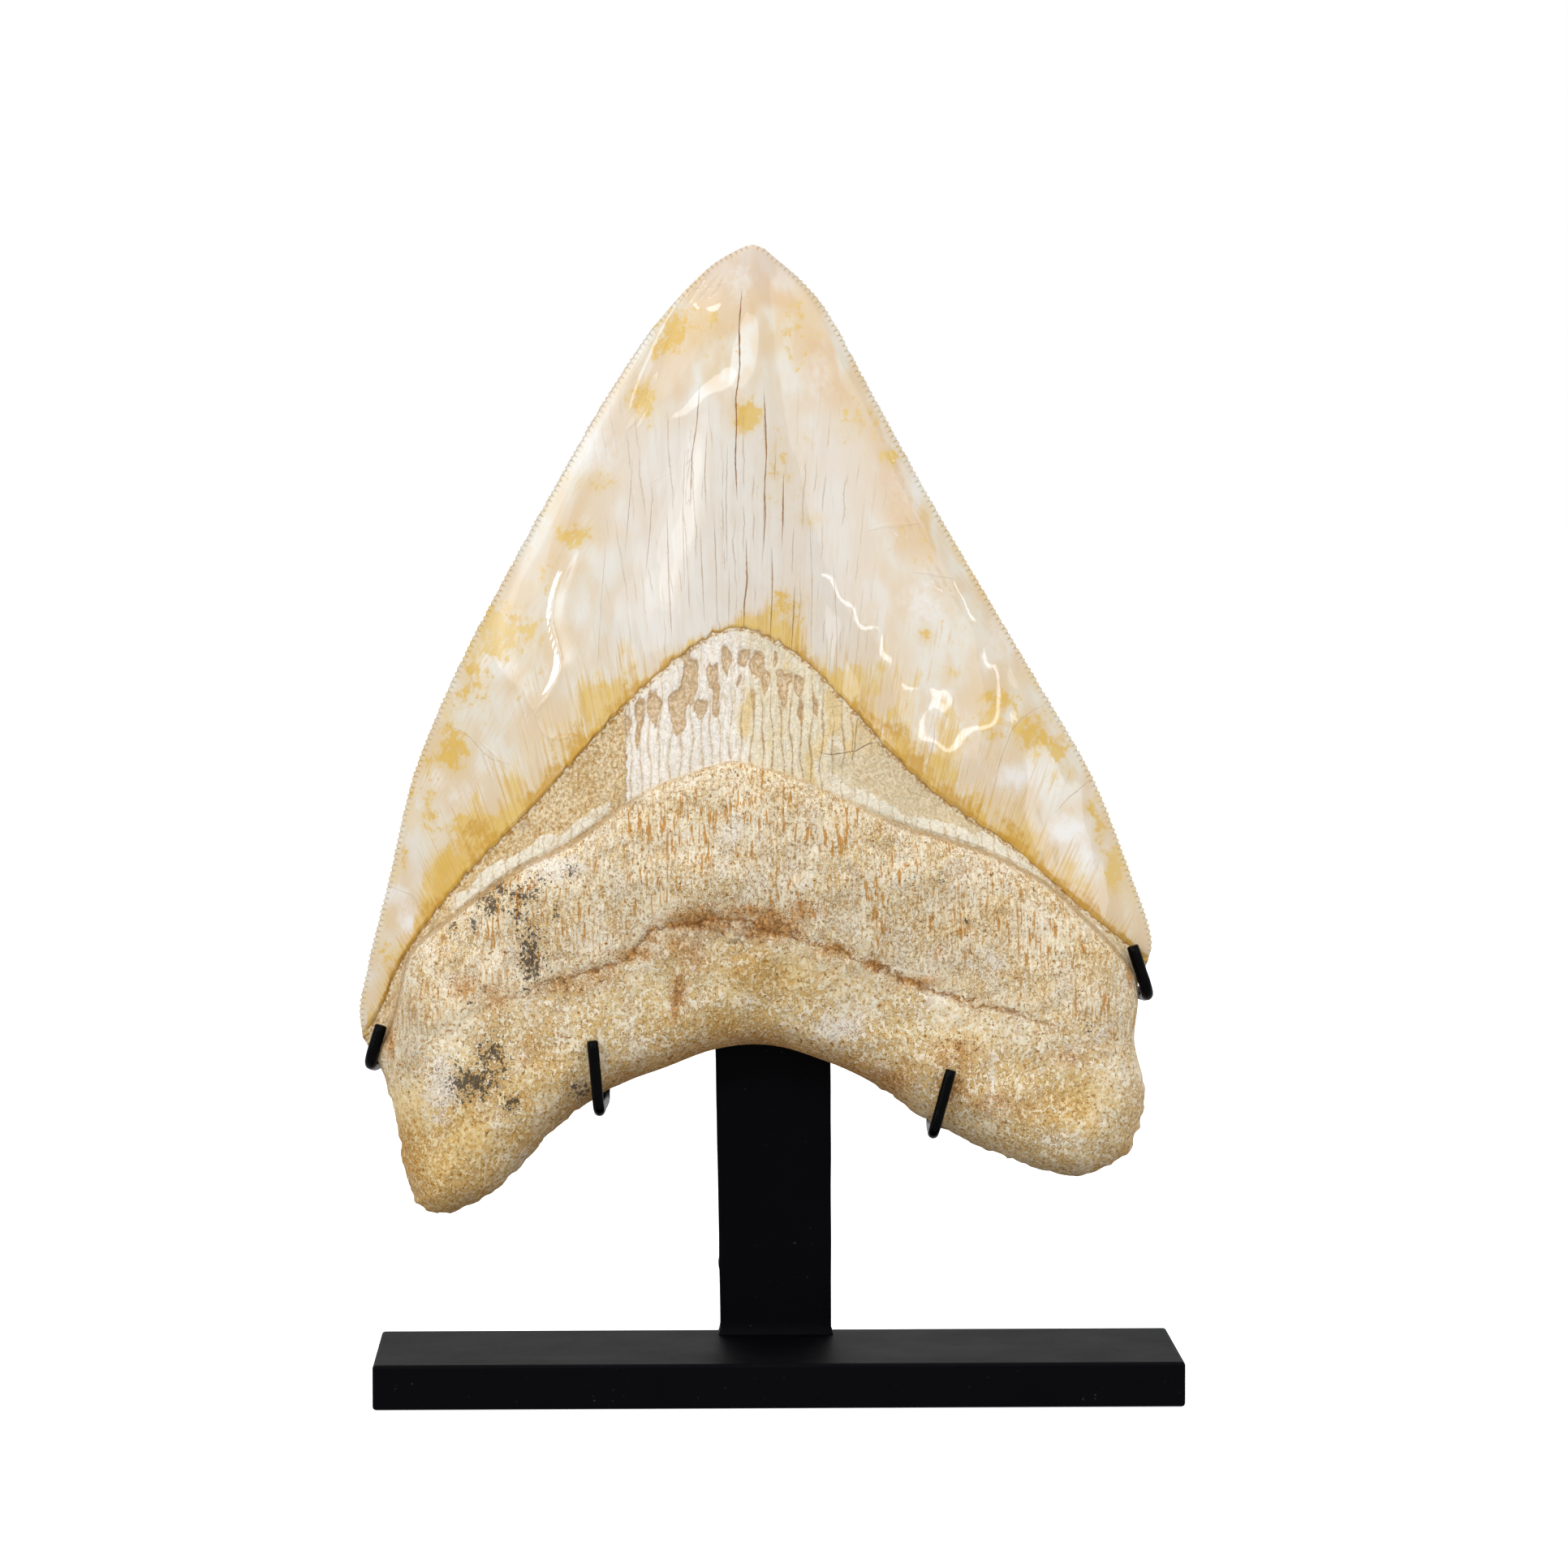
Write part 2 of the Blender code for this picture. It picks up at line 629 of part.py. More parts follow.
def main():
    for old in list(bpy.data.objects):
        bpy.data.objects.remove(old, do_unlink=True)
    stand = bpy.data.objects.new("stand", None)
    bpy.context.scene.collection.objects.link(stand)
    paint = material("black paint", (0.012, 0.012, 0.015), 0.42, 0.0)
    coating = material("black coating", (0.006, 0.006, 0.007), 0.3, 0.0)
    tooth, surface = build_tooth()
    pieces = [tooth, build_base(paint), build_post(paint)]
    pieces += [build_hook(name, hook, surface, coating) for name, hook in HOOKS.items()]
    for piece in pieces:
        piece.parent = stand


main()
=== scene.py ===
"""Fossil megalodon tooth in a black steel stand, with its studio.

Lengths in the named values are millimetres unless a property says metres. The tooth's convex face
looks along -Y, and +X is to the right of a viewer who faces it.
"""

import math

import bmesh
import bpy
import numpy as np
from mathutils import Matrix, Vector, geometry, kdtree, noise


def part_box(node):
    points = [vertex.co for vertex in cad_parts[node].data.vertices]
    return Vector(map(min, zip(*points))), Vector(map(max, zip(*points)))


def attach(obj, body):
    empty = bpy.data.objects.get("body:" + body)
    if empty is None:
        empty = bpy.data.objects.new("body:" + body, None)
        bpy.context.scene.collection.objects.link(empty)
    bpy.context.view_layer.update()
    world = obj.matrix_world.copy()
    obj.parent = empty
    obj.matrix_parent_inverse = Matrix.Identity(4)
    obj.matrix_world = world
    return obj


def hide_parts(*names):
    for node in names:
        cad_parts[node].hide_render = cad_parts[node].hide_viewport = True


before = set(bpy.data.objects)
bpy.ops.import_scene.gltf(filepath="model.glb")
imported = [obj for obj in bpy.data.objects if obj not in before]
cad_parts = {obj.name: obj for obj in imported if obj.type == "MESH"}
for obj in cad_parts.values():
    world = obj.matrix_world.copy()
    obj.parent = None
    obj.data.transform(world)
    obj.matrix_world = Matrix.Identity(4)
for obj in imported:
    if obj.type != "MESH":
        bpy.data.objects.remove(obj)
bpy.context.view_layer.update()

bl_info = {
    "name": "Fossil shark tooth on a stand",
    "version": (1, 0, 0),
    "blender": (4, 5, 0),
    "location": "View3D > Sidebar > Fossil",
    "description": "Builds the detailed tooth, its black steel stand and a plain studio",
    "category": "Object",
}

MM = 0.001

# Tooth outline seen from the front: (x, z) points of smooth lines that run upwards, or to the right
CROWN_LEFT = [
    (-59.0, 51.0), (-59.3, 54.2), (-58.3, 60.0), (-54.9, 73.9), (-51.6, 87.8), (-46.0, 101.6),
    (-38.9, 115.4), (-31.2, 129.2), (-23.1, 143.0), (-13.1, 156.7), (-8.0, 161.3), (-5.2, 162.8),
]
CROWN_RIGHT = [
    (53.0, 61.4), (53.5, 63.6), (52.9, 66.7), (50.5, 73.6), (45.0, 87.6), (37.0, 101.5),
    (28.8, 115.3), (20.7, 129.1), (13.1, 142.9), (4.9, 156.7), (0.1, 161.3), (-1.6, 162.8),
]
TIP = [(-5.2, 162.8), (-3.4, 163.4), (-1.6, 162.8)]
ROOT_ARCH = [
    (-51.5, 27.4), (-49.6, 26.2), (-47.8, 25.8), (-43.7, 27.0), (-41.0, 28.3), (-36.7, 32.3),
    (-32.1, 37.4), (-27.5, 41.1), (-22.8, 43.9), (-15.5, 46.7), (-8.9, 49.1), (-4.3, 49.8),
    (0.3, 49.5), (5.0, 48.1), (11.9, 45.2), (21.2, 39.1), (30.5, 34.4), (39.8, 31.2),
    (42.5, 30.7), (45.6, 31.5), (49.1, 33.3), (50.6, 35.0),
]
LOBE_LEFT = [(-51.5, 27.4), (-53.2, 32.1), (-54.1, 37.9), (-55.0, 42.0)]
LOBE_RIGHT = [(50.6, 35.0), (51.7, 37.6), (52.6, 41.0), (52.3, 45.0)]
FLANK_LEFT = [(-55.0, 42.0), (-56.1, 45.8), (-57.2, 48.0)]
FLANK_RIGHT = [(52.3, 45.0), (51.1, 50.0), (51.6, 55.6), (51.6, 58.6)]
NOTCH_LEFT = [(-57.2, 48.0), (-59.0, 51.0)]
NOTCH_RIGHT = [(51.6, 58.6), (53.0, 61.4)]

# Lines across the front face: the groove of the root, the ledge at its top, the enamel's edge
FRONT_GROOVE = [
    (-55.0, 42.0), (-45.0, 53.5), (-35.3, 58.5), (-23.8, 62.0), (-14.8, 68.0), (-9.0, 68.6),
    (0.0, 66.6), (10.4, 63.1), (19.6, 59.3), (31.1, 55.7), (42.0, 51.5), (52.3, 45.0),
]
FRONT_LEDGE = [
    (-57.2, 48.0), (-55.0, 52.0), (-53.8, 57.0), (-52.0, 63.2), (-45.5, 68.9), (-35.2, 76.1),
    (-29.5, 78.9), (-18.1, 87.0), (-12.4, 89.3), (-6.2, 90.9), (-1.1, 89.8), (16.0, 82.2),
    (33.3, 75.8), (39.1, 72.3), (43.7, 68.0), (48.4, 63.2), (51.6, 58.6),
]
FRONT_ENAMEL = [
    (-59.0, 51.0), (-56.6, 54.8), (-54.4, 60.1), (-46.6, 71.4), (-35.3, 83.4), (-12.4, 106.6),
    (-8.9, 108.9), (-4.9, 109.6), (-1.0, 108.2), (10.5, 98.2), (16.2, 91.7), (22.0, 86.3),
    (33.7, 78.0), (44.2, 68.7), (48.4, 65.4), (53.0, 61.4),
]

# Lines across the back face, whose enamel reaches further down
BACK_MIDDLE = [
    (-55.0, 42.0), (-45.0, 45.0), (-30.0, 51.5), (-5.0, 59.0), (20.0, 53.5), (42.0, 46.5), (52.3, 45.0),
]
BACK_NECK = [
    (-57.2, 48.0), (-50.0, 51.5), (-36.0, 59.0), (-20.0, 66.5), (-6.0, 69.6), (8.0, 68.2),
    (22.0, 64.0), (40.0, 59.0), (51.6, 58.6),
]
BACK_ENAMEL = [
    (-59.0, 51.0), (-50.0, 56.0), (-37.0, 63.5), (-22.0, 70.5), (-6.0, 73.5), (9.0, 72.0),
    (24.0, 67.5), (40.0, 63.0), (53.0, 61.4),
]

# Depths of the two faces, from the plane of the cutting edges
CROWN_FOOT_Z = 51.0
TIP_Z = 163.4
CROWN_FRONT_DEPTH = 12.0
RIDGE_SHARE = 0.7
RIDGE_POWER = 1.8
LENS_POWER = 2.2
FRONT_TAPER = (2.2, 0.8)
CROWN_BACK_DEPTH = 8.0
BACK_ROUNDING = 0.9
BACK_TAPER = (2.0, 0.85)
EDGE_BOW = 1.2
ROOT_FRONT_DEPTH = 8.4
ROOT_BACK_DEPTH = 8.4
ROOT_SWELL = 6.8
ROOT_SWELL_CENTRE_X = -4.0
ROOT_SWELL_WIDTH = 31.0
ROOT_SWELL_Z = (50.0, 78.0)
ROOT_EDGE_RADIUS = 8.5
ROUNDED_CROWN_Z = (72.0, 74.0)
BACK_HOLLOW = 1.3
BACK_HOLLOW_WIDTH = 22.0
SHOULDER_RADIUS = 7.0
LEDGE_OVER_CROWN = 2.5
LEDGE_HEIGHT = 1.3
ENAMEL_THICKNESS = 0.5
STEP_FADE = 3.0
GROOVES = [(0.3, 1.0), (0.3, 0.4)]  # (depth, half width): a narrow groove in a wider one
GROOVE_FADE = (20.0, 60.0)
FORAMEN = (-7.0, 66.6)
FORAMEN_HALF_SIZE = (9.0, 3.0)
FORAMEN_DEPTH = 0.8
FORAMEN_ROUGHNESS = 1.0
GROOVE_LEVEL, LEDGE_LEVEL, ENAMEL_LEVEL = 1, 2, 3

# Relief of the bone
LUMP_HEIGHT = 0.65
LUMP_WIDTH = 10.0
PIT_HEIGHT = 0.4
PIT_WIDTH = 4.5
FIBRE_HEIGHT = 0.20
NODULE_HEIGHT = 0.24
WORM_DEPTH = 0.12
PORE_DEPTH = 0.3
NECK_ROUGHNESS = 0.08

# Relief of the enamel
WAVE_HEIGHT = 0.055
RIPPLE_HEIGHT = 0.012
CALM_TIP_Z = 140.0
CALM_TIP_REACH = 14.0
TIP_WAVES = 0.35
RIM_FADE = 3.0

# Relief of the neck and of the cream layer on it
LAYER_HEIGHT = 0.28
RIB_GROOVE_DEPTH = 0.16
RIB_GROOVE_WIDTH = 0.17
STRIP_HEIGHT = 0.22
SIDE_ROUGHNESS = (0.14, 0.05)  # left of the layer, and everywhere

# Chips in the enamel's edge, and rough outline of the lower root
CHIP_SIZE = 0.55
CHIP_REACH = 1.1
RIM_ROUGHNESS = 0.38
RIM_REACH = 1.6
ROUGH_RIM_Z = 46.0

# Heights between which each cutting edge is serrated
SERRATED_LEFT_Z = (52.5, 153.0)
SERRATED_RIGHT_Z = (62.5, 161.0)

# Fine mesh of each face
LOWER_ROOT_ROWS = 34
UPPER_ROOT_ROWS = 40
BOURLETTE_ROWS = 40
CROWN_ROWS = 66
ENAMEL_LIP = 0.006
EDGE_CUTS = 13

# The cream layer over the neck, between the enamel and the root
CREAM_LEFT_X = -21.4
CREAM_RIGHT_X = 11.2
RIB_PITCH = 1.42
RIB_START_X = -6.6
STRIP_LEFT_X = (-46.0, -23.5)
STRIP_RIGHT_X = (4.0, 47.0)

# How far the ochre fringe reaches above the enamel's edge, by x
FRINGE_REACH = [
    (-60, 1.0), (-54, 2.0), (-50, 5.5), (-44, 8.0), (-38, 6.5), (-33, 7.0), (-27, 7.5), (-21, 5.0),
    (-16, 1.5), (-10, 0.4), (-5, 2.0), (0, 4.5), (6, 2.6), (10, 3.6), (15, 8.6), (24, 9.8), (32, 7.6),
    (40, 6.4), (46, 3.0), (54, 1.0),
]

# Stains, as (x, z, half width, half height, strength). Two of the rust spots are painted shadows of the side hooks,
# partly a contact stain
OCHRE_SPOTS = [
    (-12.2, 151.7, 5.0, 3.3, 0.7), (-16.0, 149.0, 1.7, 1.7, 0.9), (-18.8, 141.8, 1.9, 2.5, 0.9),
    (-26.0, 129.7, 3.3, 1.5, 0.6), (-28.8, 122.5, 3.0, 1.5, 0.9), (-32.7, 115.9, 3.0, 3.3, 0.5),
    (-38.8, 110.4, 3.3, 3.0, 0.9), (-35.2, 108.4, 2.5, 2.8, 0.7), (-4.5, 139.0, 1.9, 2.1, 1.0),
    (0.5, 132.4, 3.3, 5.5, 0.5), (4.6, 124.7, 2.5, 1.5, 0.5), (16.1, 133.5, 1.4, 1.1, 0.9),
    (11.5, 139.0, 3.3, 4.4, 0.5), (3.3, 151.7, 3.3, 5.0, 0.5), (1.6, 111.4, 2.8, 3.3, 0.8),
    (-4.5, 111.2, 1.2, 1.2, 0.6), (21.0, 108.1, 1.2, 1.4, 0.8), (24.8, 102.5, 2.5, 1.5, 0.6),
    (31.0, 99.2, 2.8, 1.7, 0.9), (36.5, 94.2, 2.5, 2.8, 1.0), (30.4, 95.9, 1.7, 2.2, 0.8),
    (39.8, 92.0, 1.7, 1.4, 0.9), (29.3, 114.2, 1.4, 3.3, 0.5), (21.0, 121.9, 4.4, 3.0, 0.4),
    (-41.7, 99.6, 1.2, 1.2, 0.7), (-46.1, 92.0, 2.6, 3.2, 1.0), (-49.6, 90.3, 1.3, 1.7, 0.8),
    (-26.9, 98.4, 1.5, 1.7, 0.6), (-41.8, 80.0, 3.9, 2.6, 1.3), (-46.4, 74.5, 2.6, 2.9, 1.5),
    (-49.4, 69.5, 1.3, 1.5, 1.0), (-51.9, 85.6, 0.4, 1.2, 0.9), (-53.1, 76.3, 0.6, 1.5, 0.8),
    (-55.5, 67.8, 0.9, 1.5, 0.7), (-56.1, 63.4, 1.5, 4.1, 0.6), (46.4, 80.4, 1.1, 2.6, 0.8),
    (48.0, 74.9, 1.3, 4.2, 0.8), (44.5, 83.6, 1.1, 1.0, 0.9), (41.3, 71.7, 2.2, 1.6, 0.4),
    (34.5, 79.1, 2.9, 1.6, 0.7), (41.2, 88.8, 2.2, 1.6, 0.5), (-43.5, 102.5, 1.8, 3.4, 0.9),
    (-43.5, 96.0, 4.5, 8.0, 0.35), (-37.5, 105.0, 4.0, 5.0, 0.35), (9.5, 144.0, 3.0, 6.0, 0.30),
    (27.0, 110.0, 4.0, 5.0, 0.30),
    (-0.7, 61.1, 7.5, 4.1, 0.8), (-8.2, 53.9, 7.8, 2.3, 0.9), (42.9, 42.7, 4.1, 3.4, 0.9),
    (-51.4, 38.7, 3.5, 2.3, 0.6), (31.5, 68.6, 2.3, 2.6, 0.6), (44.7, 62.5, 3.0, 2.6, 0.5),
    (-10.5, 83.1, 2.0, 0.8, 0.6), (-22.0, 40.6, 4.7, 1.6, 0.4), (39.1, 40.1, 5.6, 2.3, 0.6),
    (-37.3, 37.5, 3.9, 2.0, 0.7), (-49.5, 35.0, 8.0, 9.0, 1.3), (-36.0, 44.0, 9.0, 6.0, 0.6),
    (-38.5, 106.5, 3.2, 2.4, 0.8), (-41.8, 102.0, 1.6, 3.0, 0.7), (-49.5, 84.0, 1.6, 4.5, 0.6),
    (38.5, 96.5, 1.6, 2.6, 0.6),
]
PEARL_SPOTS = [
    (33.8, 88.1, 2.9, 1.6, 0.8), (41.6, 80.4, 2.9, 1.9, 0.9), (43.8, 76.2, 1.6, 1.6, 0.9),
    (29.3, 103.6, 1.3, 1.9, 0.4), (23.6, 94.3, 3.8, 3.8, 0.5), (-48.7, 87.9, 1.5, 1.5, 0.8),
    (-53.7, 71.3, 1.5, 1.2, 0.8), (-52.3, 67.5, 1.5, 1.7, 0.8), (-44.7, 85.6, 2.6, 1.7, 0.5),
    (-50.5, 83.3, 2.3, 3.5, 0.6), (-41.7, 89.7, 1.7, 1.7, 0.5), (-40.5, 104.3, 3.3, 2.2, 0.9),
    (-25.5, 134.1, 3.3, 3.3, 0.5), (-5.0, 158.3, 1.7, 3.3, 0.5), (5.5, 145.1, 2.8, 3.3, 0.5),
    (19.8, 129.1, 3.3, 2.8, 0.5), (21.0, 112.5, 3.3, 2.8, 0.6), (31.5, 107.0, 3.3, 3.3, 0.5),
]
MANGANESE_SPOTS = [
    (-39.4, 72.8, 1.3, 1.2, 0.9), (-40.5, 70.7, 1.7, 1.6, 0.9), (-36.5, 71.9, 1.7, 1.2, 0.9),
    (-36.8, 69.3, 1.2, 1.0, 0.8), (-42.9, 68.1, 0.5, 1.2, 1.0), (-45.8, 67.2, 0.5, 0.9, 1.0),
    (-34.4, 72.2, 1.0, 1.3, 0.7), (-33.0, 74.2, 1.2, 0.9, 0.6), (-34.8, 63.7, 1.7, 4.1, 0.9),
    (-31.3, 69.5, 0.5, 1.2, 0.8), (-29.5, 75.4, 0.9, 0.9, 0.6), (-19.0, 76.5, 0.5, 1.0, 0.5),
    (-48.1, 68.3, 0.3, 0.3, 1.0), (-43.1, 45.4, 3.1, 2.3, 1.0), (-40.4, 49.7, 2.0, 2.0, 0.8),
    (-37.7, 42.2, 1.4, 1.4, 0.9), (-45.5, 48.1, 1.0, 1.2, 0.6), (-38.8, 47.7, 1.6, 2.3, 0.6),
    (-34.5, 62.3, 1.6, 2.3, 1.0), (-43.5, 56.8, 0.5, 0.5, 0.8), (-27.8, 44.1, 2.0, 1.6, 0.7),
    (44.0, 52.6, 0.8, 0.6, 0.7), (26.7, 68.1, 0.6, 0.6, 0.6), (20.5, 74.0, 2.6, 1.1, 0.4),
    (18.2, 78.5, 2.3, 1.5, 0.3),
]
RUST_SPOTS_AND_HOOK_SHADOWS = [
    (-10.9, 68.5, 4.7, 1.6, 0.9), (-1.1, 67.3, 3.5, 1.4, 1.0), (-0.7, 67.9, 3.4, 1.5, 1.0),
    (3.1, 69.8, 2.3, 1.5, 0.7), (13.3, 61.8, 0.9, 0.8, 1.0), (8.0, 64.1, 2.3, 0.8, 0.7),
    (-14.1, 58.7, 0.8, 2.3, 0.9), (-14.0, 65.0, 2.3, 2.0, 0.6), (-44.3, 59.2, 2.0, 1.6, 0.6),
    (-39.6, 57.6, 2.0, 1.6, 0.6), (25.0, 49.6, 3.4, 2.3, 0.6), (16.7, 45.8, 3.0, 2.3, 0.5),
    (-25.4, 60.3, 2.3, 1.2, 0.6), (-17.6, 66.6, 1.0, 1.2, 0.7), (-34.9, 49.7, 1.6, 2.3, 0.4),
    (-36.4, 65.1, 0.5, 3.1, 0.5), (22.8, 64.1, 0.7, 0.7, 0.6), (41.0, 48.8, 2.3, 1.1, 0.5),
    # The second and third spots on the next line are painted shadows of the side hooks on the tooth, partly a contact
    # stain
    (4.6, 45.1, 5.6, 0.8, 0.5), (-54.9, 51.2, 0.6, 2.4, 0.9), (50.2, 61.2, 0.5, 2.4, 0.9),
    (24.5, 44.5, 2.0, 2.4, 0.7), (-14.6, 56.2, 0.5, 1.8, 1.0), (-11.6, 63.4, 1.6, 2.6, 0.6),
    (-4.0, 69.8, 5.0, 0.8, 0.8), (19.6, 59.6, 3.0, 0.7, 0.7), (31.0, 42.0, 5.0, 1.6, 0.5),
    (-20.0, 63.6, 3.2, 0.8, 0.7), (-30.2, 58.6, 4.0, 0.8, 0.6),
]
PALE_SPOTS = [
    (-32.4, 76.1, 5.5, 2.0, 0.8), (-47.5, 44.6, 2.3, 4.7, 0.9), (-27.0, 65.4, 4.7, 2.3, 0.4),
    (8.8, 52.7, 3.4, 2.3, 0.8), (30.4, 46.6, 0.5, 3.4, 0.8), (12.9, 42.8, 2.3, 1.5, 0.6),
    (29.6, 62.5, 4.5, 2.3, 0.5), (-6.6, 81.5, 1.2, 3.1, 0.7), (-12.1, 61.5, 0.8, 2.3, 0.6),
    (-34.9, 56.4, 2.3, 2.3, 0.4), (22.8, 57.2, 1.5, 1.1, 0.7), (12.2, 55.8, 2.3, 0.8, 0.5),
    (45.9, 52.2, 1.5, 1.9, 0.6), (-12.8, 80.7, 2.3, 0.8, 0.6), (2.0, 73.6, 3.4, 0.5, 0.5),
]
GREY_SPOTS = [
    (-52.1, 52.5, 2.3, 6.3, 0.8), (-52.1, 57.2, 2.0, 2.3, 0.6), (-49.4, 43.0, 1.6, 2.3, 0.4),
    (41.0, 59.5, 3.4, 2.3, 0.5), (-20.5, 85.5, 1.7, 0.9, 0.9), (7.4, 91.2, 1.9, 1.4, 0.8),
    (-35.9, 81.5, 1.2, 0.9, 0.7), (-49.0, 67.3, 0.9, 0.9, 0.6),
]
STAINS = {
    "ochre": OCHRE_SPOTS, "pearl": PEARL_SPOTS, "manganese": MANGANESE_SPOTS,
    "rust": RUST_SPOTS_AND_HOOK_SHADOWS, "pale": PALE_SPOTS, "grey": GREY_SPOTS,
}

# Missing flakes of the cream layer, as (x, z, half width, half height)
FLAKES = [
    (-17.3, 97.9, 1.1, 2.4), (-19.5, 97.1, 0.7, 2.0), (-21.2, 96.0, 0.4, 1.0), (-19.7, 93.9, 0.4, 2.1),
    (-12.3, 101.8, 1.2, 3.4), (-14.1, 97.7, 1.4, 3.3), (-10.9, 98.1, 1.2, 1.2), (-9.3, 102.7, 0.9, 1.6),
    (-8.6, 99.4, 0.5, 2.9), (-7.1, 104.9, 0.7, 2.1), (-4.8, 105.2, 0.7, 1.4), (-2.9, 104.2, 1.1, 2.0),
    (-1.8, 101.8, 0.6, 1.6), (0.8, 102.0, 1.3, 1.3), (0.8, 99.4, 0.5, 1.9), (2.9, 101.3, 0.7, 1.4),
    (-5.5, 101.3, 0.3, 1.1), (5.5, 98.4, 0.4, 1.1), (3.2, 97.7, 0.4, 1.4), (-13.0, 105.4, 0.7, 1.2),
    (-22.2, 93.8, 0.7, 0.8), (-0.3, 104.9, 0.4, 1.0), (-3.5, 99.4, 0.3, 1.4), (-14.4, 95.1, 0.5, 1.0),
]

# Cracks, as (points, half width, darkness). Odd and even places of the list hold those that stand side by
# side, because each vertex stores its nearest crack of either set
CRACKS = [
    ([(-4.9, 156.4), (-5.3, 151.7), (-5.2, 146.2), (-5.8, 141.8), (-5.7, 138.0), (-5.9, 133.6), (-5.7, 128.2)],
     0.11, 1.0),
    ([(-1.8, 142.2), (-1.6, 138.0), (-1.5, 133.6), (-1.8, 129.1), (-1.7, 125.0), (-1.9, 121.6)], 0.10, 0.95),
    ([(0.9, 130.4), (0.8, 125.8), (0.7, 121.4)], 0.11, 0.9),
    ([(-10.9, 143.0), (-11.3, 138.0), (-12.0, 133.6), (-12.2, 127.0)], 0.09, 0.7),
    ([(-4.4, 121.3), (-4.3, 116.0), (-4.7, 112.6), (-4.8, 109.4)], 0.12, 0.9),
    ([(2.4, 114.9), (2.2, 110.4), (1.9, 106.0)], 0.10, 0.8),
    ([(-0.8, 120.3), (-0.7, 116.0), (-1.0, 108.6)], 0.09, 0.8),
    ([(-15.5, 125.0), (-15.3, 116.0), (-14.9, 108.6)], 0.07, 0.6),
    ([(-10.8, 122.6), (-10.6, 117.0), (-10.3, 110.8)], 0.07, 0.55),
    ([(-20.4, 132.4), (-20.8, 127.0), (-21.4, 120.5)], 0.06, 0.5),
    ([(-9.9, 136.6), (-10.2, 131.0), (-10.0, 126.5)], 0.07, 0.55),
    ([(-8.8, 123.0), (-8.6, 117.0), (-8.5, 110.0)], 0.06, 0.5),
    ([(-17.6, 128.2), (-18.0, 122.0), (-18.5, 117.7)], 0.07, 0.55),
    ([(-7.0, 134.5), (-7.2, 128.0), (-7.1, 119.0)], 0.06, 0.5),
    ([(-6.8, 117.0), (-6.9, 109.8)], 0.06, 0.5),
    ([(-13.0, 134.0), (-13.3, 126.0), (-13.1, 116.0)], 0.05, 0.45),
    ([(-24.2, 121.0), (-24.9, 112.0), (-25.3, 104.5)], 0.05, 0.4),
    ([(4.6, 124.0), (4.9, 116.0), (4.7, 107.0)], 0.05, 0.45),
    ([(7.9, 118.5), (8.4, 109.5), (8.3, 103.0)], 0.05, 0.4),
    ([(-48.4, 96.1), (-46.6, 95.3), (-44.6, 94.5), (-43.1, 93.3), (-41.7, 91.6), (-40.5, 90.7), (-38.0, 90.0)],
     0.05, 0.55),
    ([(-55.4, 72.6), (-53.4, 71.8), (-51.6, 71.2), (-50.3, 70.1)], 0.05, 0.55),
    ([(39.6, 98.5), (36.9, 97.6), (35.0, 96.3), (33.7, 95.0), (32.4, 92.1), (31.3, 88.9), (30.7, 86.0)], 0.05, 0.45),
    ([(-51.9, 70.9), (-50.8, 69.4), (-49.7, 67.9)], 0.06, 0.5),
    ([(22.3, 95.4), (22.2, 93.4), (21.4, 90.1)], 0.07, 0.5),
    ([(45.2, 87.7), (43.3, 86.2), (41.7, 85.0), (39.9, 83.1)], 0.07, 0.6),
    ([(5.6, 92.2), (7.1, 91.7), (9.3, 91.9), (11.2, 92.2), (12.8, 93.1), (14.8, 93.4)], 0.09, 0.8),
    ([(11.4, 97.4), (11.0, 94.6), (10.8, 92.2), (10.2, 90.2)], 0.09, 0.7),
    ([(17.0, 88.0), (18.6, 86.3), (20.9, 85.4)], 0.06, 0.5),
    ([(9.6, 92.0), (8.9, 90.2), (9.3, 88.8)], 0.08, 0.5),
]
HAIR_PITCH = 1.35
CRACK_REACH = 0.6
RIDGE_REACH = 1.6
FIELD_ENDINGS = ("_mm", "_width", "_dark")

# Fine raised lines of the enamel, which catch the light, as (points, half width, share of the height)
RIDGE_HEIGHT = 0.15
RIDGES = [
    ([(-28.6, 119.9), (-30.2, 117.0), (-31.3, 114.1), (-31.7, 110.6), (-30.8, 107.1), (-30.1, 104.6), (-31.1, 101.7),
      (-32.6, 99.2), (-34.4, 97.5)], 0.85, 1.0),
    ([(-34.4, 97.5), (-36.6, 100.7), (-39.5, 103.8), (-40.3, 105.5)], 1.0, 0.7),
    ([(-34.4, 97.5), (-33.6, 95.2), (-32.5, 93.9), (-30.8, 93.6), (-28.3, 94.3)], 0.5, 0.8),
    ([(-11.9, 157.2), (-9.7, 157.6), (-7.4, 157.9)], 0.6, 1.0),
    ([(-16.8, 148.2), (-17.5, 145.4), (-18.4, 141.7)], 0.5, 1.0),
    ([(-18.1, 141.0), (-19.7, 138.6), (-20.9, 137.4)], 0.6, 1.0),
    ([(-18.4, 129.5), (-16.5, 130.6), (-14.6, 131.4)], 0.3, 0.5),
    ([(-7.3, 129.2), (-4.1, 130.2)], 0.3, 0.4),
    ([(13.2, 123.1), (15.2, 123.7), (17.6, 123.8), (20.2, 124.0)], 0.6, 0.8),
    ([(19.8, 117.1), (22.0, 116.9), (25.1, 116.2)], 0.6, 0.8),
    ([(-42.2, 93.2), (-40.2, 91.5), (-38.2, 89.3)], 0.5, 0.6),
]

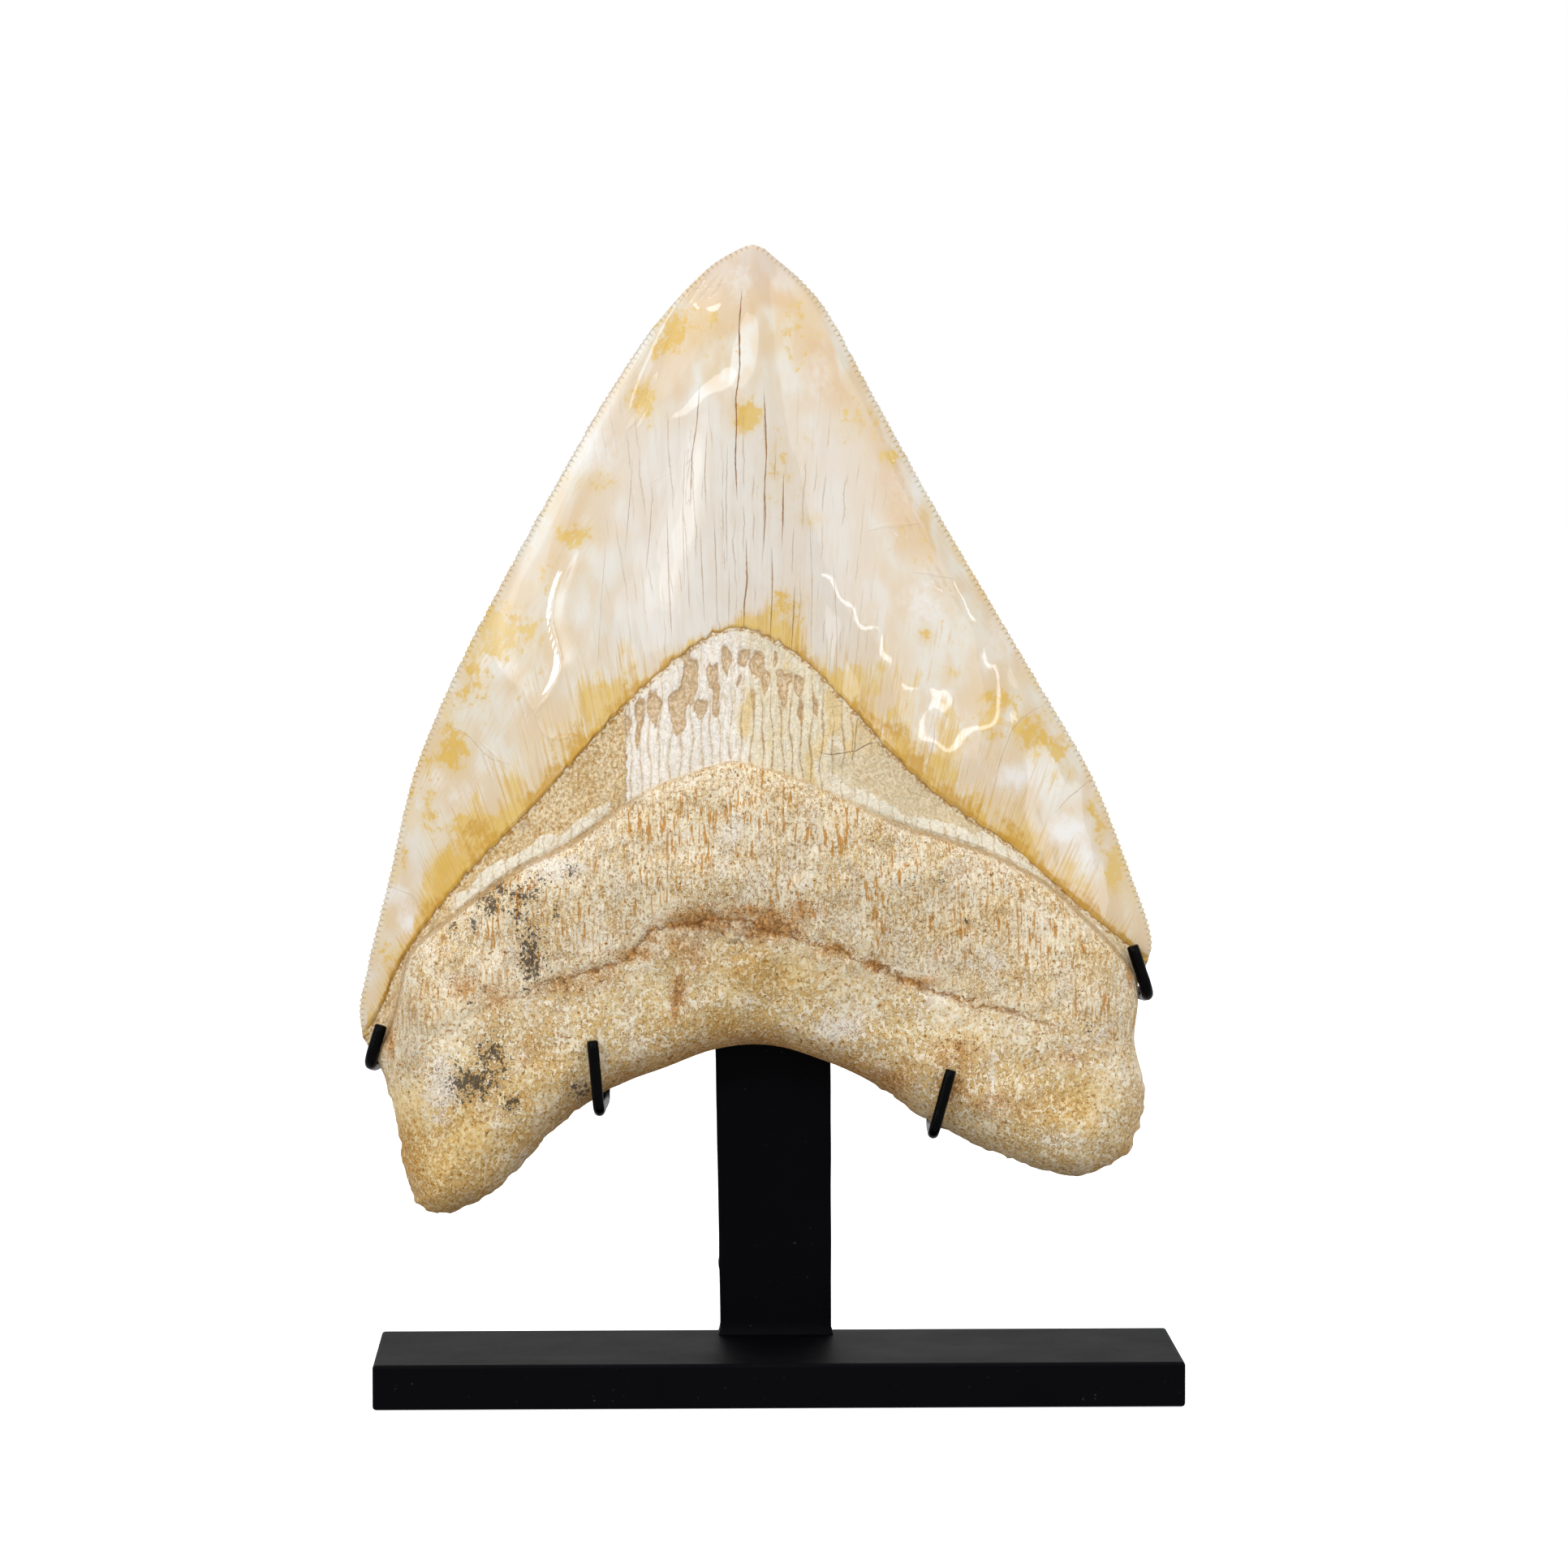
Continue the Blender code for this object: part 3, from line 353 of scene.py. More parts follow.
# Stand
BASE_HEIGHT = 6.35
POST_FOOT_X = (-7.9, 8.1)
POST_TOP_X = (-9.3, 8.0)
POST_FRONT_Y = 10.5
POST_THICKNESS = 4.76
POST_TOP_Z = 88.0
POST_BEVEL = 0.3
PAINT_SWAY = 0.07
PAINT_WRINKLES = (14.0, 2.2, 0.06)  # height, reach and depth
PAINT_DENT = (-8.0, 16.6, 0.16)  # x, height and depth, in the left edge
WELD_REACH = 0.35
ROD_SIDES = 14
ROD_TIP_BEVEL = 0.16
ROD_WELD = 0.55
COATING_WRINKLES = 0.035
ROD_BEND_RADIUS = 2.3
ROD_BEND_STEPS = 9
BEND_SHARE = 0.48

# Rods, by the name of their solid: where each leaves the post (y, z), its corners behind the tooth
# (x, y, z), the two ends of its leg in front (x, z), and its thickness over the rod's where it differs
HOOKS = {
    "prong_lower_left": {
        "start": (12.9, 54.0), "behind": [(-24.6, 10.2, 52.0), (-24.6, 10.2, 40.8)],
        "foot": (-25.3, 41.3), "tip": (-26.2, 51.4),
    },
    "prong_lower_right": {
        "start": (12.9, 52.0), "behind": [(22.6, 10.2, 49.0), (22.6, 10.2, 36.9)],
        "foot": (21.9, 38.0), "tip": (24.4, 47.1),
    },
    "prong_side_left": {
        "start": (12.9, 62.0), "behind": [(-54.6, 10.4, 47.9), (-57.4, 3.0, 46.7)],
        "foot": (-57.9, 47.6), "tip": (-56.2, 53.0), "thickness": 1.1,
    },
    "prong_side_right": {
        "start": (12.9, 68.0), "behind": [(49.4, 10.4, 57.3), (52.8, 4.0, 56.3)],
        "foot": (52.9, 57.0), "tip": (50.6, 63.9), "thickness": 1.1,
    },
}

# Camera, in mm and radians, and its lens on a 36 mm sensor
CAMERA_PLACE = (-18.61, -847.67, 140.88)
CAMERA_PITCH = 0.0635
CAMERA_YAW = 0.0232
CAMERA_ROLL = -0.0008
CAMERA_LENS = 137.13

# Floor and lights, in metres
FLOOR_RADIUS = 6.0
UNDER_BASE = 0.0001  # the floor lies this far below the base
LIGHT_AIM = (0, 0, 0.09)
MIRRORED_TINT = (0.84, 0.92, 1.0)

# Lights that the enamel mirrors, as (name, place, size, share of their full brightness)
MIRRORED_LIGHTS = [
    ("highlight 1", (-0.525, -0.91, 0.370), (0.38, 0.20), 0.14),
    ("highlight 2", (-0.520, -0.91, 0.370), (0.27, 0.15), 0.18),
    ("highlight 3", (-0.505, -0.92, 0.365), (0.18, 0.11), 0.24),
    ("tip light", (0.05, -0.95, 0.510), (0.50, 0.13), 0.35),
    ("tip strip", (-0.544, -0.696, 0.626), (0.15, 0.02), 1.0),
    ("front strip", (-0.36, -0.82, 0.461), (0.62, 0.03), 0.6),
    ("left strip", (-0.812, -0.634, 0.328), (0.08, 0.24), 2.0),
    ("right strip", (0.620, -0.785, 0.348), (0.14, 0.008), 1.0),
    ("low right light", (0.56, -0.83, 0.235), (0.10, 0.16), 0.3),
]


def smooth(value):
    """0 up to 0, 1 from 1, and a smooth step between."""
    t = np.clip(value, 0.0, 1.0)
    return t * t * (3 - 2 * t)


def rounded(distance, radius):
    """Height of a quarter circle of this radius, over the radius, at a distance from its foot."""
    t = np.clip(distance / radius, 0.0, 1.0)
    return np.sqrt(1 - (1 - t) ** 2)


def through(points, steps=24):
    """A smooth line through the points, as an array of closely spaced ones."""
    knots = np.array(points, float)
    spans = np.linalg.norm(np.diff(knots, axis=0), axis=1)[:, None]
    slopes = np.diff(knots, axis=0) / spans
    tangents = np.vstack([slopes[:1], slopes, slopes[-1:]])[: len(knots)]
    if len(knots) > 2:
        middle = (slopes[:-1] * spans[1:] + slopes[1:] * spans[:-1]) / (spans[1:] + spans[:-1])
        tangents = np.vstack([slopes[:1], middle, slopes[-1:]])
    t = np.linspace(0, 1, steps, endpoint=False)[:, None]
    line = []
    for a, b, span, leave, reach in zip(knots, knots[1:], spans, tangents, tangents[1:]):
        line.append(
            a * (1 + 2 * t) * (1 - t) ** 2
            + leave * span * t * (1 - t) ** 2
            + b * t**2 * (3 - 2 * t)
            + reach * span * t**2 * (t - 1)
        )
    return np.vstack(line + [knots[-1:]])


def along(points, fractions):
    """Points at these fractions of the length of a smooth line through the given ones."""
    line = through(points)
    run = np.concatenate([[0], np.cumsum(np.linalg.norm(np.diff(line, axis=0), axis=1))])
    at = np.asarray(fractions) * run[-1]
    return np.stack([np.interp(at, run, line[:, 0]), np.interp(at, run, line[:, 1])], axis=-1)


def distances(lines, x, z):
    """Distance of each place from the nearest of these lines."""
    points = np.vstack([through(line, 60) for line in lines])
    tree = kdtree.KDTree(len(points))
    for number, (px, pz) in enumerate(points):
        tree.insert((px, pz, 0), number)
    tree.balance()
    found = [tree.find((a, b, 0))[2] for a, b in zip(x.flat, z.flat)]
    return np.array(found).reshape(x.shape)


def grain(x, y, z, size, octaves=1):
    """Smooth random heights, mostly from -1 to 1, whose lumps have this (x, y, z) size."""
    sx, sy, sz = size
    places = zip((x / sx).flat, (y / sy).flat, (z / sz).flat)
    found = [noise.fractal(place, 1.0, 2.0, octaves) for place in places]
    return np.array(found).reshape(x.shape)


def cloud(face, seed, size, octaves):
    """Soft random patches over a face, whose mean is 0 and whose spread is 1."""
    found = grain(face.x, np.zeros_like(face.x) + seed * size[1], face.z, size, octaves)
    return (found - found.mean()) / found.std()


def spots(places, x, z):
    """How strongly each place is stained, from 0 to 1."""
    total = np.zeros_like(x)
    for cx, cz, half_width, half_height, strength in places:
        away = ((x - cx) / half_width) ** 2 + ((z - cz) / half_height) ** 2
        total = np.maximum(total, strength * np.exp(-0.6 * away))
    return total


def inside_flakes(x, z):
    """Roughly how far inside the nearest missing flake each place is, in mm."""
    flat = np.zeros_like(x)
    bent_x = x + 0.45 * grain(x, flat + 5, z, (1.6, 1.0, 2.2), 2)
    bent_z = z + 0.9 * grain(x, flat + 8, z, (0.9, 1.0, 2.0), 2)
    best = np.full_like(x, -3.0)
    for cx, cz, half_width, half_height in FLAKES:
        up = np.clip((bent_z - cz) / half_height, -1.4, 1.4)
        local = half_width * (0.85 + 0.35 * up)
        away = np.sqrt(((bent_x - cx) / local) ** 2 + up**2)
        best = np.maximum(best, (1 - away) * half_width)
    return best


def rib_phase(x, z, sine):
    """Counts the upright ribs of the cream layer: they meet where this is a whole number."""
    sway = 0.16 * sine(z * 0.33 + x * 0.6) + 0.10 * sine(z * 0.9 - x * 1.7)
    return (x - RIB_START_X) / RIB_PITCH + sway


def column_places(count):
    """Fractions across a face: closer at its sides, and closest over the ribbed middle."""
    even = np.linspace(0, 1, 1001)
    weight = 1 + 0.9 * np.exp(-(((even - 0.52) / 0.16) ** 2)) + 1.4 * np.exp(-(np.minimum(even, 1 - even) / 0.03))
    filled = np.concatenate([[0], np.cumsum((weight[1:] + weight[:-1]) / 2)])
    return np.interp(np.linspace(0, 1, count + 1), filled / filled[-1], even)


def row_places(count, low_crowding=0.0, high_crowding=0.0):
    """Fractions up a band, closer at its lower or upper line by the crowding."""
    t = np.linspace(0, 1, count + 1)
    return t + low_crowding * (t**2 - t) * (1 - t) + high_crowding * (t - t**2) * t


class ToothFace:
    """Places and reliefs of one face of the tooth, on a grid whose rows run from the root to the tip."""

    def __init__(self, groove, ledge, enamel, columns):
        self.columns = column_places(columns)
        crown_rows = np.insert(row_places(CROWN_ROWS, 0.5), 1, ENAMEL_LIP)
        bands = (
            (ROOT_ARCH, groove, LOBE_LEFT, LOBE_RIGHT, row_places(LOWER_ROOT_ROWS, 0.9)),
            (groove, ledge, FLANK_LEFT, FLANK_RIGHT, row_places(UPPER_ROOT_ROWS, 0.0, 0.7)),
            (ledge, enamel, NOTCH_LEFT, NOTCH_RIGHT, row_places(BOURLETTE_ROWS, 0.4, 0.3)),
            (enamel, TIP, CROWN_LEFT, CROWN_RIGHT, crown_rows),
        )
        levels, rows = [], []
        for number, (lower, upper, left, right, places) in enumerate(bands):
            patch = self.patch(lower, upper, left, right, places)
            kept = slice(1 if number else 0, None)
            levels += list(number + places[kept])
            rows.append(patch[kept])
        points = np.vstack(rows)
        self.x, self.z = points[..., 0].copy(), points[..., 1].copy()
        self.level = np.repeat(np.array(levels)[:, None], len(self.columns), axis=1)
        self.enamel_mm = self.beyond(enamel, ENAMEL_LEVEL)
        self.ledge_mm = self.beyond(ledge, LEDGE_LEVEL)
        self.groove_mm = self.beyond(groove, GROOVE_LEVEL)
        wobble = 0.9 * grain(self.x, 0 * self.x, self.z, (5.0, 5.0, 5.0), 3)
        self.groove_mm = self.groove_mm + wobble + 0.6 * grain(self.x, 0 * self.x, self.z, (1.3, 2.0, 1.3), 2)
        root = (NOTCH_LEFT, FLANK_LEFT, LOBE_LEFT, ROOT_ARCH, LOBE_RIGHT, FLANK_RIGHT, NOTCH_RIGHT)
        self.root_rim = distances(root, self.x, self.z)
        self.blade_rim = distances((CROWN_LEFT, CROWN_RIGHT, TIP), self.x, self.z)
        left, right = through(CROWN_LEFT), through(CROWN_RIGHT)
        low_left = [(a, b) for a, b in CROWN_LEFT if b < ROUNDED_CROWN_Z[0]]
        low_right = [(a, b) for a, b in CROWN_RIGHT if b < ROUNDED_CROWN_Z[1]]
        self.lower_rim = np.minimum(self.root_rim, distances((low_left, low_right), self.x, self.z))
        west = np.interp(self.z, left[:, 1], left[:, 0])
        east = np.interp(self.z, right[:, 1], right[:, 0])
        self.across = np.minimum(np.abs(2 * self.x - west - east) / (east - west), 1.0)
        self.up = np.clip((self.z - CROWN_FOOT_Z) / (TIP_Z - CROWN_FOOT_Z), 0.0, 1.0)

    def patch(self, lower, upper, left, right, rows):
        """Points between four lines that meet at their ends."""
        u, v = self.columns[None, :, None], rows[:, None, None]
        bottom, top = along(lower, self.columns)[None], along(upper, self.columns)[None]
        start, end = along(left, rows)[:, None], along(right, rows)[:, None]
        corners = (1 - u) * ((1 - v) * bottom[:, :1] + v * top[:, :1]) + u * (
            (1 - v) * bottom[:, -1:] + v * top[:, -1:]
        )
        return (1 - v) * bottom + v * top + (1 - u) * start + u * end - corners

    def beyond(self, line, level):
        """Distance above a line, or below it with a minus."""
        return distances([line], self.x, self.z) * np.sign(self.level - level)

    def bone(self, side):
        """Lumps, pits, fibres and pores of the root, outwards."""
        x, z, flat = self.x, self.z, np.zeros_like(self.x)
        lumps = LUMP_HEIGHT * grain(x, flat + side * LUMP_WIDTH, z, (LUMP_WIDTH,) * 3)
        pits = PIT_HEIGHT * grain(x, flat + (4 + side) * PIT_WIDTH, z, (PIT_WIDTH,) * 3)
        fibres = FIBRE_HEIGHT * grain(x, flat + side, z, (0.9, 1.0, 3.6), 2) * smooth(self.level - 0.6)
        nodules = NODULE_HEIGHT * grain(x, flat + side * 7, z, (1.5, 1.5, 1.5), 3)
        pores = PORE_DEPTH * smooth((grain(x, flat + side * 11, z, (1.3, 1.3, 1.7), 2) - 0.3) / 0.35)
        worms = np.abs(grain(x, flat + side * 5, z, (2.4, 2.0, 0.9), 2)) * smooth(1.3 - self.level)
        return lumps + pits + fibres + nodules - WORM_DEPTH * worms - pores

    def root_shape(self, depth, side):
        """Depth of the rough root, which rounds off towards its outline."""
        return (depth + self.bone(side)) * rounded(self.lower_rim, ROOT_EDGE_RADIUS)


def front_crown(face):
    """Full in the middle, with shallow valleys before the thin cutting edges."""
    ridge = np.cos(math.pi * face.across / 2) ** RIDGE_POWER
    full = RIDGE_SHARE * ridge + (1 - RIDGE_SHARE) * (1 - face.across**LENS_POWER)
    start, fullness = FRONT_TAPER
    return CROWN_FRONT_DEPTH * full * (1 - face.up**start) ** fullness


def back_crown(face):
    """Nearly flat, curved a little from edge to edge."""
    start, fullness = BACK_TAPER
    bulge = (1 - face.across**2) ** BACK_ROUNDING
    return CROWN_BACK_DEPTH * bulge * (1 - face.up**start) ** fullness


def enamel_relief(face, side):
    """Faint waves of the polished enamel and its raised lines, which reflections show."""
    flat = np.zeros_like(face.x) + side * 3
    calm = TIP_WAVES + (1 - TIP_WAVES) * smooth((CALM_TIP_Z - face.z) / CALM_TIP_REACH)
    waves = WAVE_HEIGHT * grain(face.x, flat, face.z, (6.0, 5.0, 10.0), 2) * calm
    ripples = RIPPLE_HEIGHT * grain(face.x, flat, face.z, (1.1, 2.0, 11.0))
    ridge = 0.0
    if side < 0:
        away, width, height = line_fields(RIDGES, face.x, face.z, RIDGE_REACH)
        ridge = RIDGE_HEIGHT * height * np.exp(-((away / width) ** 2))
    return (waves + ripples) * smooth(face.blade_rim / RIM_FADE) + ridge


def line_fields(lines, x, z, reach):
    """Distance from the nearest of these cracks or raised lines, with a sign for its side, and that line's
    half width and strength. The strength is full within the reach, and ends softly beyond it and past the
    line's ends."""
    nearest = np.full_like(x, 9.0)
    aside, width, strong = nearest.copy(), np.full_like(x, 0.1), np.zeros_like(x)
    for points, half_width, strength in lines:
        lengths = [math.dist(a, b) for a, b in zip(points, points[1:])]
        run = 0.0
        for (x0, z0), (x1, z1), length in zip(points, points[1:], lengths):
            part = ((x - x0) * (x1 - x0) + (z - z0) * (z1 - z0)) / length
            side = ((x - x0) * (z1 - z0) - (z - z0) * (x1 - x0)) / length
            beyond = np.maximum(np.maximum(-part, part - length), 0.0)
            away = np.hypot(side, beyond)
            from_end = np.minimum(run + part, sum(lengths) - run - part)
            closer = away < nearest
            nearest = np.where(closer, away, nearest)
            aside = np.where(closer, side, aside)
            width = np.where(closer, half_width * np.clip(0.2 + from_end / 4, 0.2, 1.0), width)
            strong = np.where(closer, strength * (1 - smooth(beyond / 0.7)), strong)
            run += length
    return aside, width, strong * (1 - smooth((nearest - reach) / 0.4))


def front_depth(face):
    """Depth of the front face, from the plane of the cutting edges towards the viewer."""
    x, z, level = face.x, face.z, face.level
    crown = front_crown(face)
    fade = rounded(face.root_rim, STEP_FADE)
    band = crown - ENAMEL_THICKNESS * fade
    ledge = (crown + LEDGE_OVER_CROWN) * fade
    foot = ledge - LEDGE_HEIGHT * fade
    neck = foot + (band - foot) * smooth(level - LEDGE_LEVEL)
    neck = neck + fade * cream_relief(face)
    off_centre = np.abs(x - ROOT_SWELL_CENTRE_X)
    low, high = ROOT_SWELL_Z
    swell = ROOT_SWELL * np.exp(-((off_centre / ROOT_SWELL_WIDTH) ** 2)) * smooth((z - low) / (high - low))
    root = face.root_shape(ROOT_FRONT_DEPTH + swell, -1)
    full_to, gone_at = GROOVE_FADE
    shown = smooth((gone_at - off_centre) / (gone_at - full_to))
    broken = np.clip(0.75 + 0.9 * grain(x, np.zeros_like(x), z, (5.0, 2.0, 5.0), 2), 0.15, 1.3)
    for deep, half_width in GROOVES:
        root = root - deep * np.exp(-((face.groove_mm / half_width) ** 2)) * shown * broken
    u, v = (x - FORAMEN[0]) / FORAMEN_HALF_SIZE[0], (z - FORAMEN[1]) / FORAMEN_HALF_SIZE[1]
    rough_hole = FORAMEN_DEPTH + FORAMEN_ROUGHNESS * grain(x, np.zeros_like(x), z, (1.3, 1.4, 0.7), 4)
    root = root - rough_hole * np.exp(-(u**2) - v**2)
    shoulder = rounded(np.abs(face.ledge_mm), SHOULDER_RADIUS)
    root = ledge + (root - ledge) * shoulder
    enamel = crown + enamel_relief(face, -1)
    return np.where(level > ENAMEL_LEVEL, enamel, np.where(level > LEDGE_LEVEL, neck, root))


def cream_relief(face):
    """The ribbed cream layer over the neck, its missing flakes, and the rough bone beside it."""
    x, z = face.x, face.z
    flat = np.zeros_like(x)
    jag = 0.35 * grain(x, flat + 2, z, (1.3, 1.0, 1.3), 2)
    middle = np.minimum(x - CREAM_LEFT_X, CREAM_RIGHT_X - x) + jag
    layer = smooth(middle / 0.5 + 0.5)
    flaked = smooth((inside_flakes(x, z) + 0.25 * jag) / 0.2 + 0.5)
    phase = rib_phase(x, z, np.sin)
    between = np.exp(-(((phase - np.round(phase)) * RIB_PITCH / RIB_GROOVE_WIDTH) ** 2))
    ribbed = smooth((103 - z) / 9)
    height = LAYER_HEIGHT * layer * (1 - flaked) - RIB_GROOVE_DEPTH * between * layer * ribbed
    strip = strip_strength(x, face.ledge_mm + 0.5 * jag)
    rough = SIDE_ROUGHNESS[0] * grain(x, flat + 9, z, (1.2, 1.0, 1.4), 3) * smooth(CREAM_LEFT_X - x + 0.5)
    smoother = SIDE_ROUGHNESS[1] * grain(x, flat + 9, z, (2.0, 1.0, 2.4), 2)
    return height + STRIP_HEIGHT * strip * (1 - layer) + (rough + smoother) * (1 - strip)


def strip_strength(x, above_ledge):
    """1 on the narrow cream strips that lie along the ledge, left and right."""
    across = smooth((above_ledge - 0.35) / 0.25) * smooth((2.6 - above_ledge) / 0.4)
    left = smooth((x - STRIP_LEFT_X[0]) / 2) * smooth((STRIP_LEFT_X[1] - x) / 1)
    right = smooth((x - STRIP_RIGHT_X[0]) / 2) * smooth((STRIP_RIGHT_X[1] - x) / 2)
    return across * np.maximum(left, right)


def back_depth(face):
    """Depth of the back face, from the plane of the cutting edges away from the viewer."""
    crown = back_crown(face)
    fade = rounded(face.root_rim, STEP_FADE)
    neck = crown - ENAMEL_THICKNESS * fade
    hollow = BACK_HOLLOW * np.exp(-(((face.x - ROOT_SWELL_CENTRE_X) / BACK_HOLLOW_WIDTH) ** 2))
    root = face.root_shape(ROOT_BACK_DEPTH - hollow, 1)
    shoulder = rounded(np.abs(face.ledge_mm), SHOULDER_RADIUS)
    root = neck + (root - neck) * shoulder
    rough = NECK_ROUGHNESS * grain(face.x, np.zeros_like(face.x), face.z, (1.2, 1.0, 2.2), 2)
    rough_neck = neck + rough * fade
    enamel = crown + enamel_relief(face, 1)
    return np.where(face.level > ENAMEL_LEVEL, enamel, np.where(face.level > LEDGE_LEVEL, rough_neck, root))


def jagged_edge(face):
    """Chips the enamel's edge, and roughens the outline of the root."""
    flat = np.zeros_like(face.x)
    near = np.exp(-((face.enamel_mm / CHIP_REACH) ** 2)) * smooth(face.root_rim / 4.0)
    shift = CHIP_SIZE * grain(face.x, flat, flat, (0.8, 1.0, 1.0), 3) * near
    face.z += np.where(np.abs(face.level - ENAMEL_LEVEL) < 0.2, shift, 0.0)
    rim = np.exp(-((face.root_rim / RIM_REACH) ** 2)) * smooth((ROUGH_RIM_Z - face.z) / 4)
    sideways, upwards = (
        RIM_ROUGHNESS * grain(face.x, flat + shifted, face.z, (1.7, 1.0, 1.7), 3) for shifted in (0, 30)
    )
    face.x += rim * sideways
    face.z += rim * upwards


def add_face(bm, face, depth, outwards, fields):
    """Adds one face of the tooth as a grid and returns its vertices row by row."""
    rows, columns = face.x.shape
    made = bmesh.ops.create_grid(bm, x_segments=columns - 1, y_segments=rows - 1, size=1)
    grid = [[None] * columns for _ in range(rows)]
    for vert in made["verts"]:
        column = round((vert.co.x + 1) / 2 * (columns - 1))
        row = round((vert.co.y + 1) / 2 * (rows - 1))
        grid[row][column] = vert
    deep = depth.copy()
    deep[0] = deep[-1] = 0.0
    deep[:, 0] = deep[:, -1] = 0.0
    y = EDGE_BOW * np.sin(math.pi * face.up) + outwards * deep
    layers = {name: bm.verts.layers.float[name] for name in fields}
    for row in range(rows):
        for column in range(columns):
            vert = grid[row][column]
            vert.co = (face.x[row, column] * MM, y[row, column] * MM, face.z[row, column] * MM)
            for name, values in fields.items():
                vert[layers[name]] = values[row, column]
    if outwards > 0:
        bmesh.ops.reverse_faces(bm, faces=list({f for vert in made["verts"] for f in vert.link_faces}))
    return grid


def run_along(outline, x, z):
    """How far up a smooth line each place lies, in mm, and the line's direction there."""
    line = through(outline, 60)
    steps = np.diff(line, axis=0)
    lengths = np.linalg.norm(steps, axis=1)
    run = np.concatenate([[0], np.cumsum(lengths)])
    ways = steps / lengths[:, None]
    tree = kdtree.KDTree(len(line))
    for number, (px, pz) in enumerate(line):
        tree.insert((px, pz, 0), number)
    tree.balance()
    found = np.array([tree.find((a, b, 0))[1] for a, b in zip(x.flat, z.flat)]).reshape(x.shape)
    found = np.minimum(found, len(steps) - 1)
    dx, dz = ways[found, 0], ways[found, 1]
    return run[found] + (x - line[found, 0]) * dx + (z - line[found, 1]) * dz, dx, dz


def edge_run(x, z):
    """How far up the nearer cutting edge each place lies, in mm."""
    left, right = run_along(CROWN_LEFT, x, z)[0], run_along(CROWN_RIGHT, x, z)[0]
    return np.where(x < TIP[1][0], left, right)


def stored_fields(face, side):
    """The numbers that the vertices carry for the finish, by name. The back's stains mirror the front's."""
    x, z, nothing = face.x * -side, face.z, np.zeros_like(face.x)
    fields = {
        "enamel_mm": face.enamel_mm,
        "ledge_mm": face.ledge_mm,
        "groove_mm": face.groove_mm,
        "blade_mm": face.blade_rim,
        "root_rim": face.root_rim,
        "front": nothing + (side < 0),
        "fringe": np.interp(x, *zip(*FRINGE_REACH)),
        "flake_mm": inside_flakes(face.x, z) if side < 0 else nothing - 3.0,
        "clouds": cloud(face, side * 3, (9, 5, 13), 3),
        "wisps": cloud(face, side * 5, (3.2, 4, 6.5), 3),
        "patches": cloud(face, side * 7, (7, 7, 7), 4),
        "edge_run": edge_run(face.x, z),
    }
    for name, places in STAINS.items():
        fields[name] = spots(places, x, z)
    for name, lines, reach in (
        ("crack", CRACKS[::2], CRACK_REACH),
        ("split", CRACKS[1::2], CRACK_REACH),
        ("ridge", RIDGES, RIDGE_REACH),
    ):
        fields.update(zip((name + ending for ending in FIELD_ENDINGS), line_fields(lines, x, z, reach)))
    return fields


def cut_serrations(bm, rows, height, pitch):
    """Rounds small serrations out of both cutting edges, given as rows of vertices that run upwards."""
    rim = bm.verts.layers.float["rim"]
    edges = []
    for verts, (low, high) in zip(rows, (SERRATED_LEFT_Z, SERRATED_RIGHT_Z)):
        kept = [vert for vert in verts if low * MM <= vert.co.z <= high * MM]
        for vert in kept:
            vert[rim] = 1.0
        edges += [bm.edges.get(pair) for pair in zip(kept, kept[1:])]
    bmesh.ops.subdivide_edges(bm, edges=edges, cuts=EDGE_CUTS, use_single_edge=True)
    on_rim = [vert for vert in bm.verts if vert[rim] > 0.99]
    for outline, (low, high), outward in (
        (CROWN_LEFT, SERRATED_LEFT_Z, -1),
        (CROWN_RIGHT, SERRATED_RIGHT_Z, 1),
    ):
        verts = [vert for vert in on_rim if (vert.co.x / MM - TIP[1][0]) * outward > 0]
        x, z = (np.array([vert.co[axis] / MM for vert in verts]) for axis in (0, 2))
        at, dx, dz = run_along(outline, x, z)
        ends = np.clip(np.minimum(z - low, high - z) / 2, 0, 1)
        wave = (0.5 - 0.5 * np.cos(2 * math.pi * at / pitch)) ** 0.7
        uneven = np.array([0.8 + 0.45 * noise.noise(Vector((place / 2.2, outward, 0))) for place in at])
        shift = outward * ends * uneven * wave * height * MM
        for vert, right, up in zip(verts, shift * dz, -shift * dx):
            vert.co += Vector((right, 0, up))


def shown_piece(name, bm, finish, replaced, sharp_degrees):
    """Makes a finished piece of the mesh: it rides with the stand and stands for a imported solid."""
    mesh = bpy.data.meshes.new(name)
    bm.to_mesh(mesh)
    bm.free()
    mesh.materials.append(finish)
    mesh.shade_smooth()
    mesh.set_sharp_from_angle(angle=math.radians(sharp_degrees))
    piece = bpy.data.objects.new(name, mesh)
    bpy.context.scene.collection.objects.link(piece)
    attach(piece, "root")
    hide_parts(replaced)


class Number:
    """A number that changes over a surface. Arithmetic on it adds Math nodes to its finish."""

    def __init__(self, finish, socket):
        self.finish = finish
        self.socket = socket

    def __add__(self, other):
        return self.finish.math("ADD", self, other)

    def __sub__(self, other):
        return self.finish.math("SUBTRACT", self, other)

    def __rsub__(self, other):
        return self.finish.math("SUBTRACT", other, self)

    def __mul__(self, other):
        return self.finish.math("MULTIPLY", self, other)

    def __truediv__(self, other):
        return self.finish.math("DIVIDE", self, other)

    __radd__ = __add__
    __rmul__ = __mul__


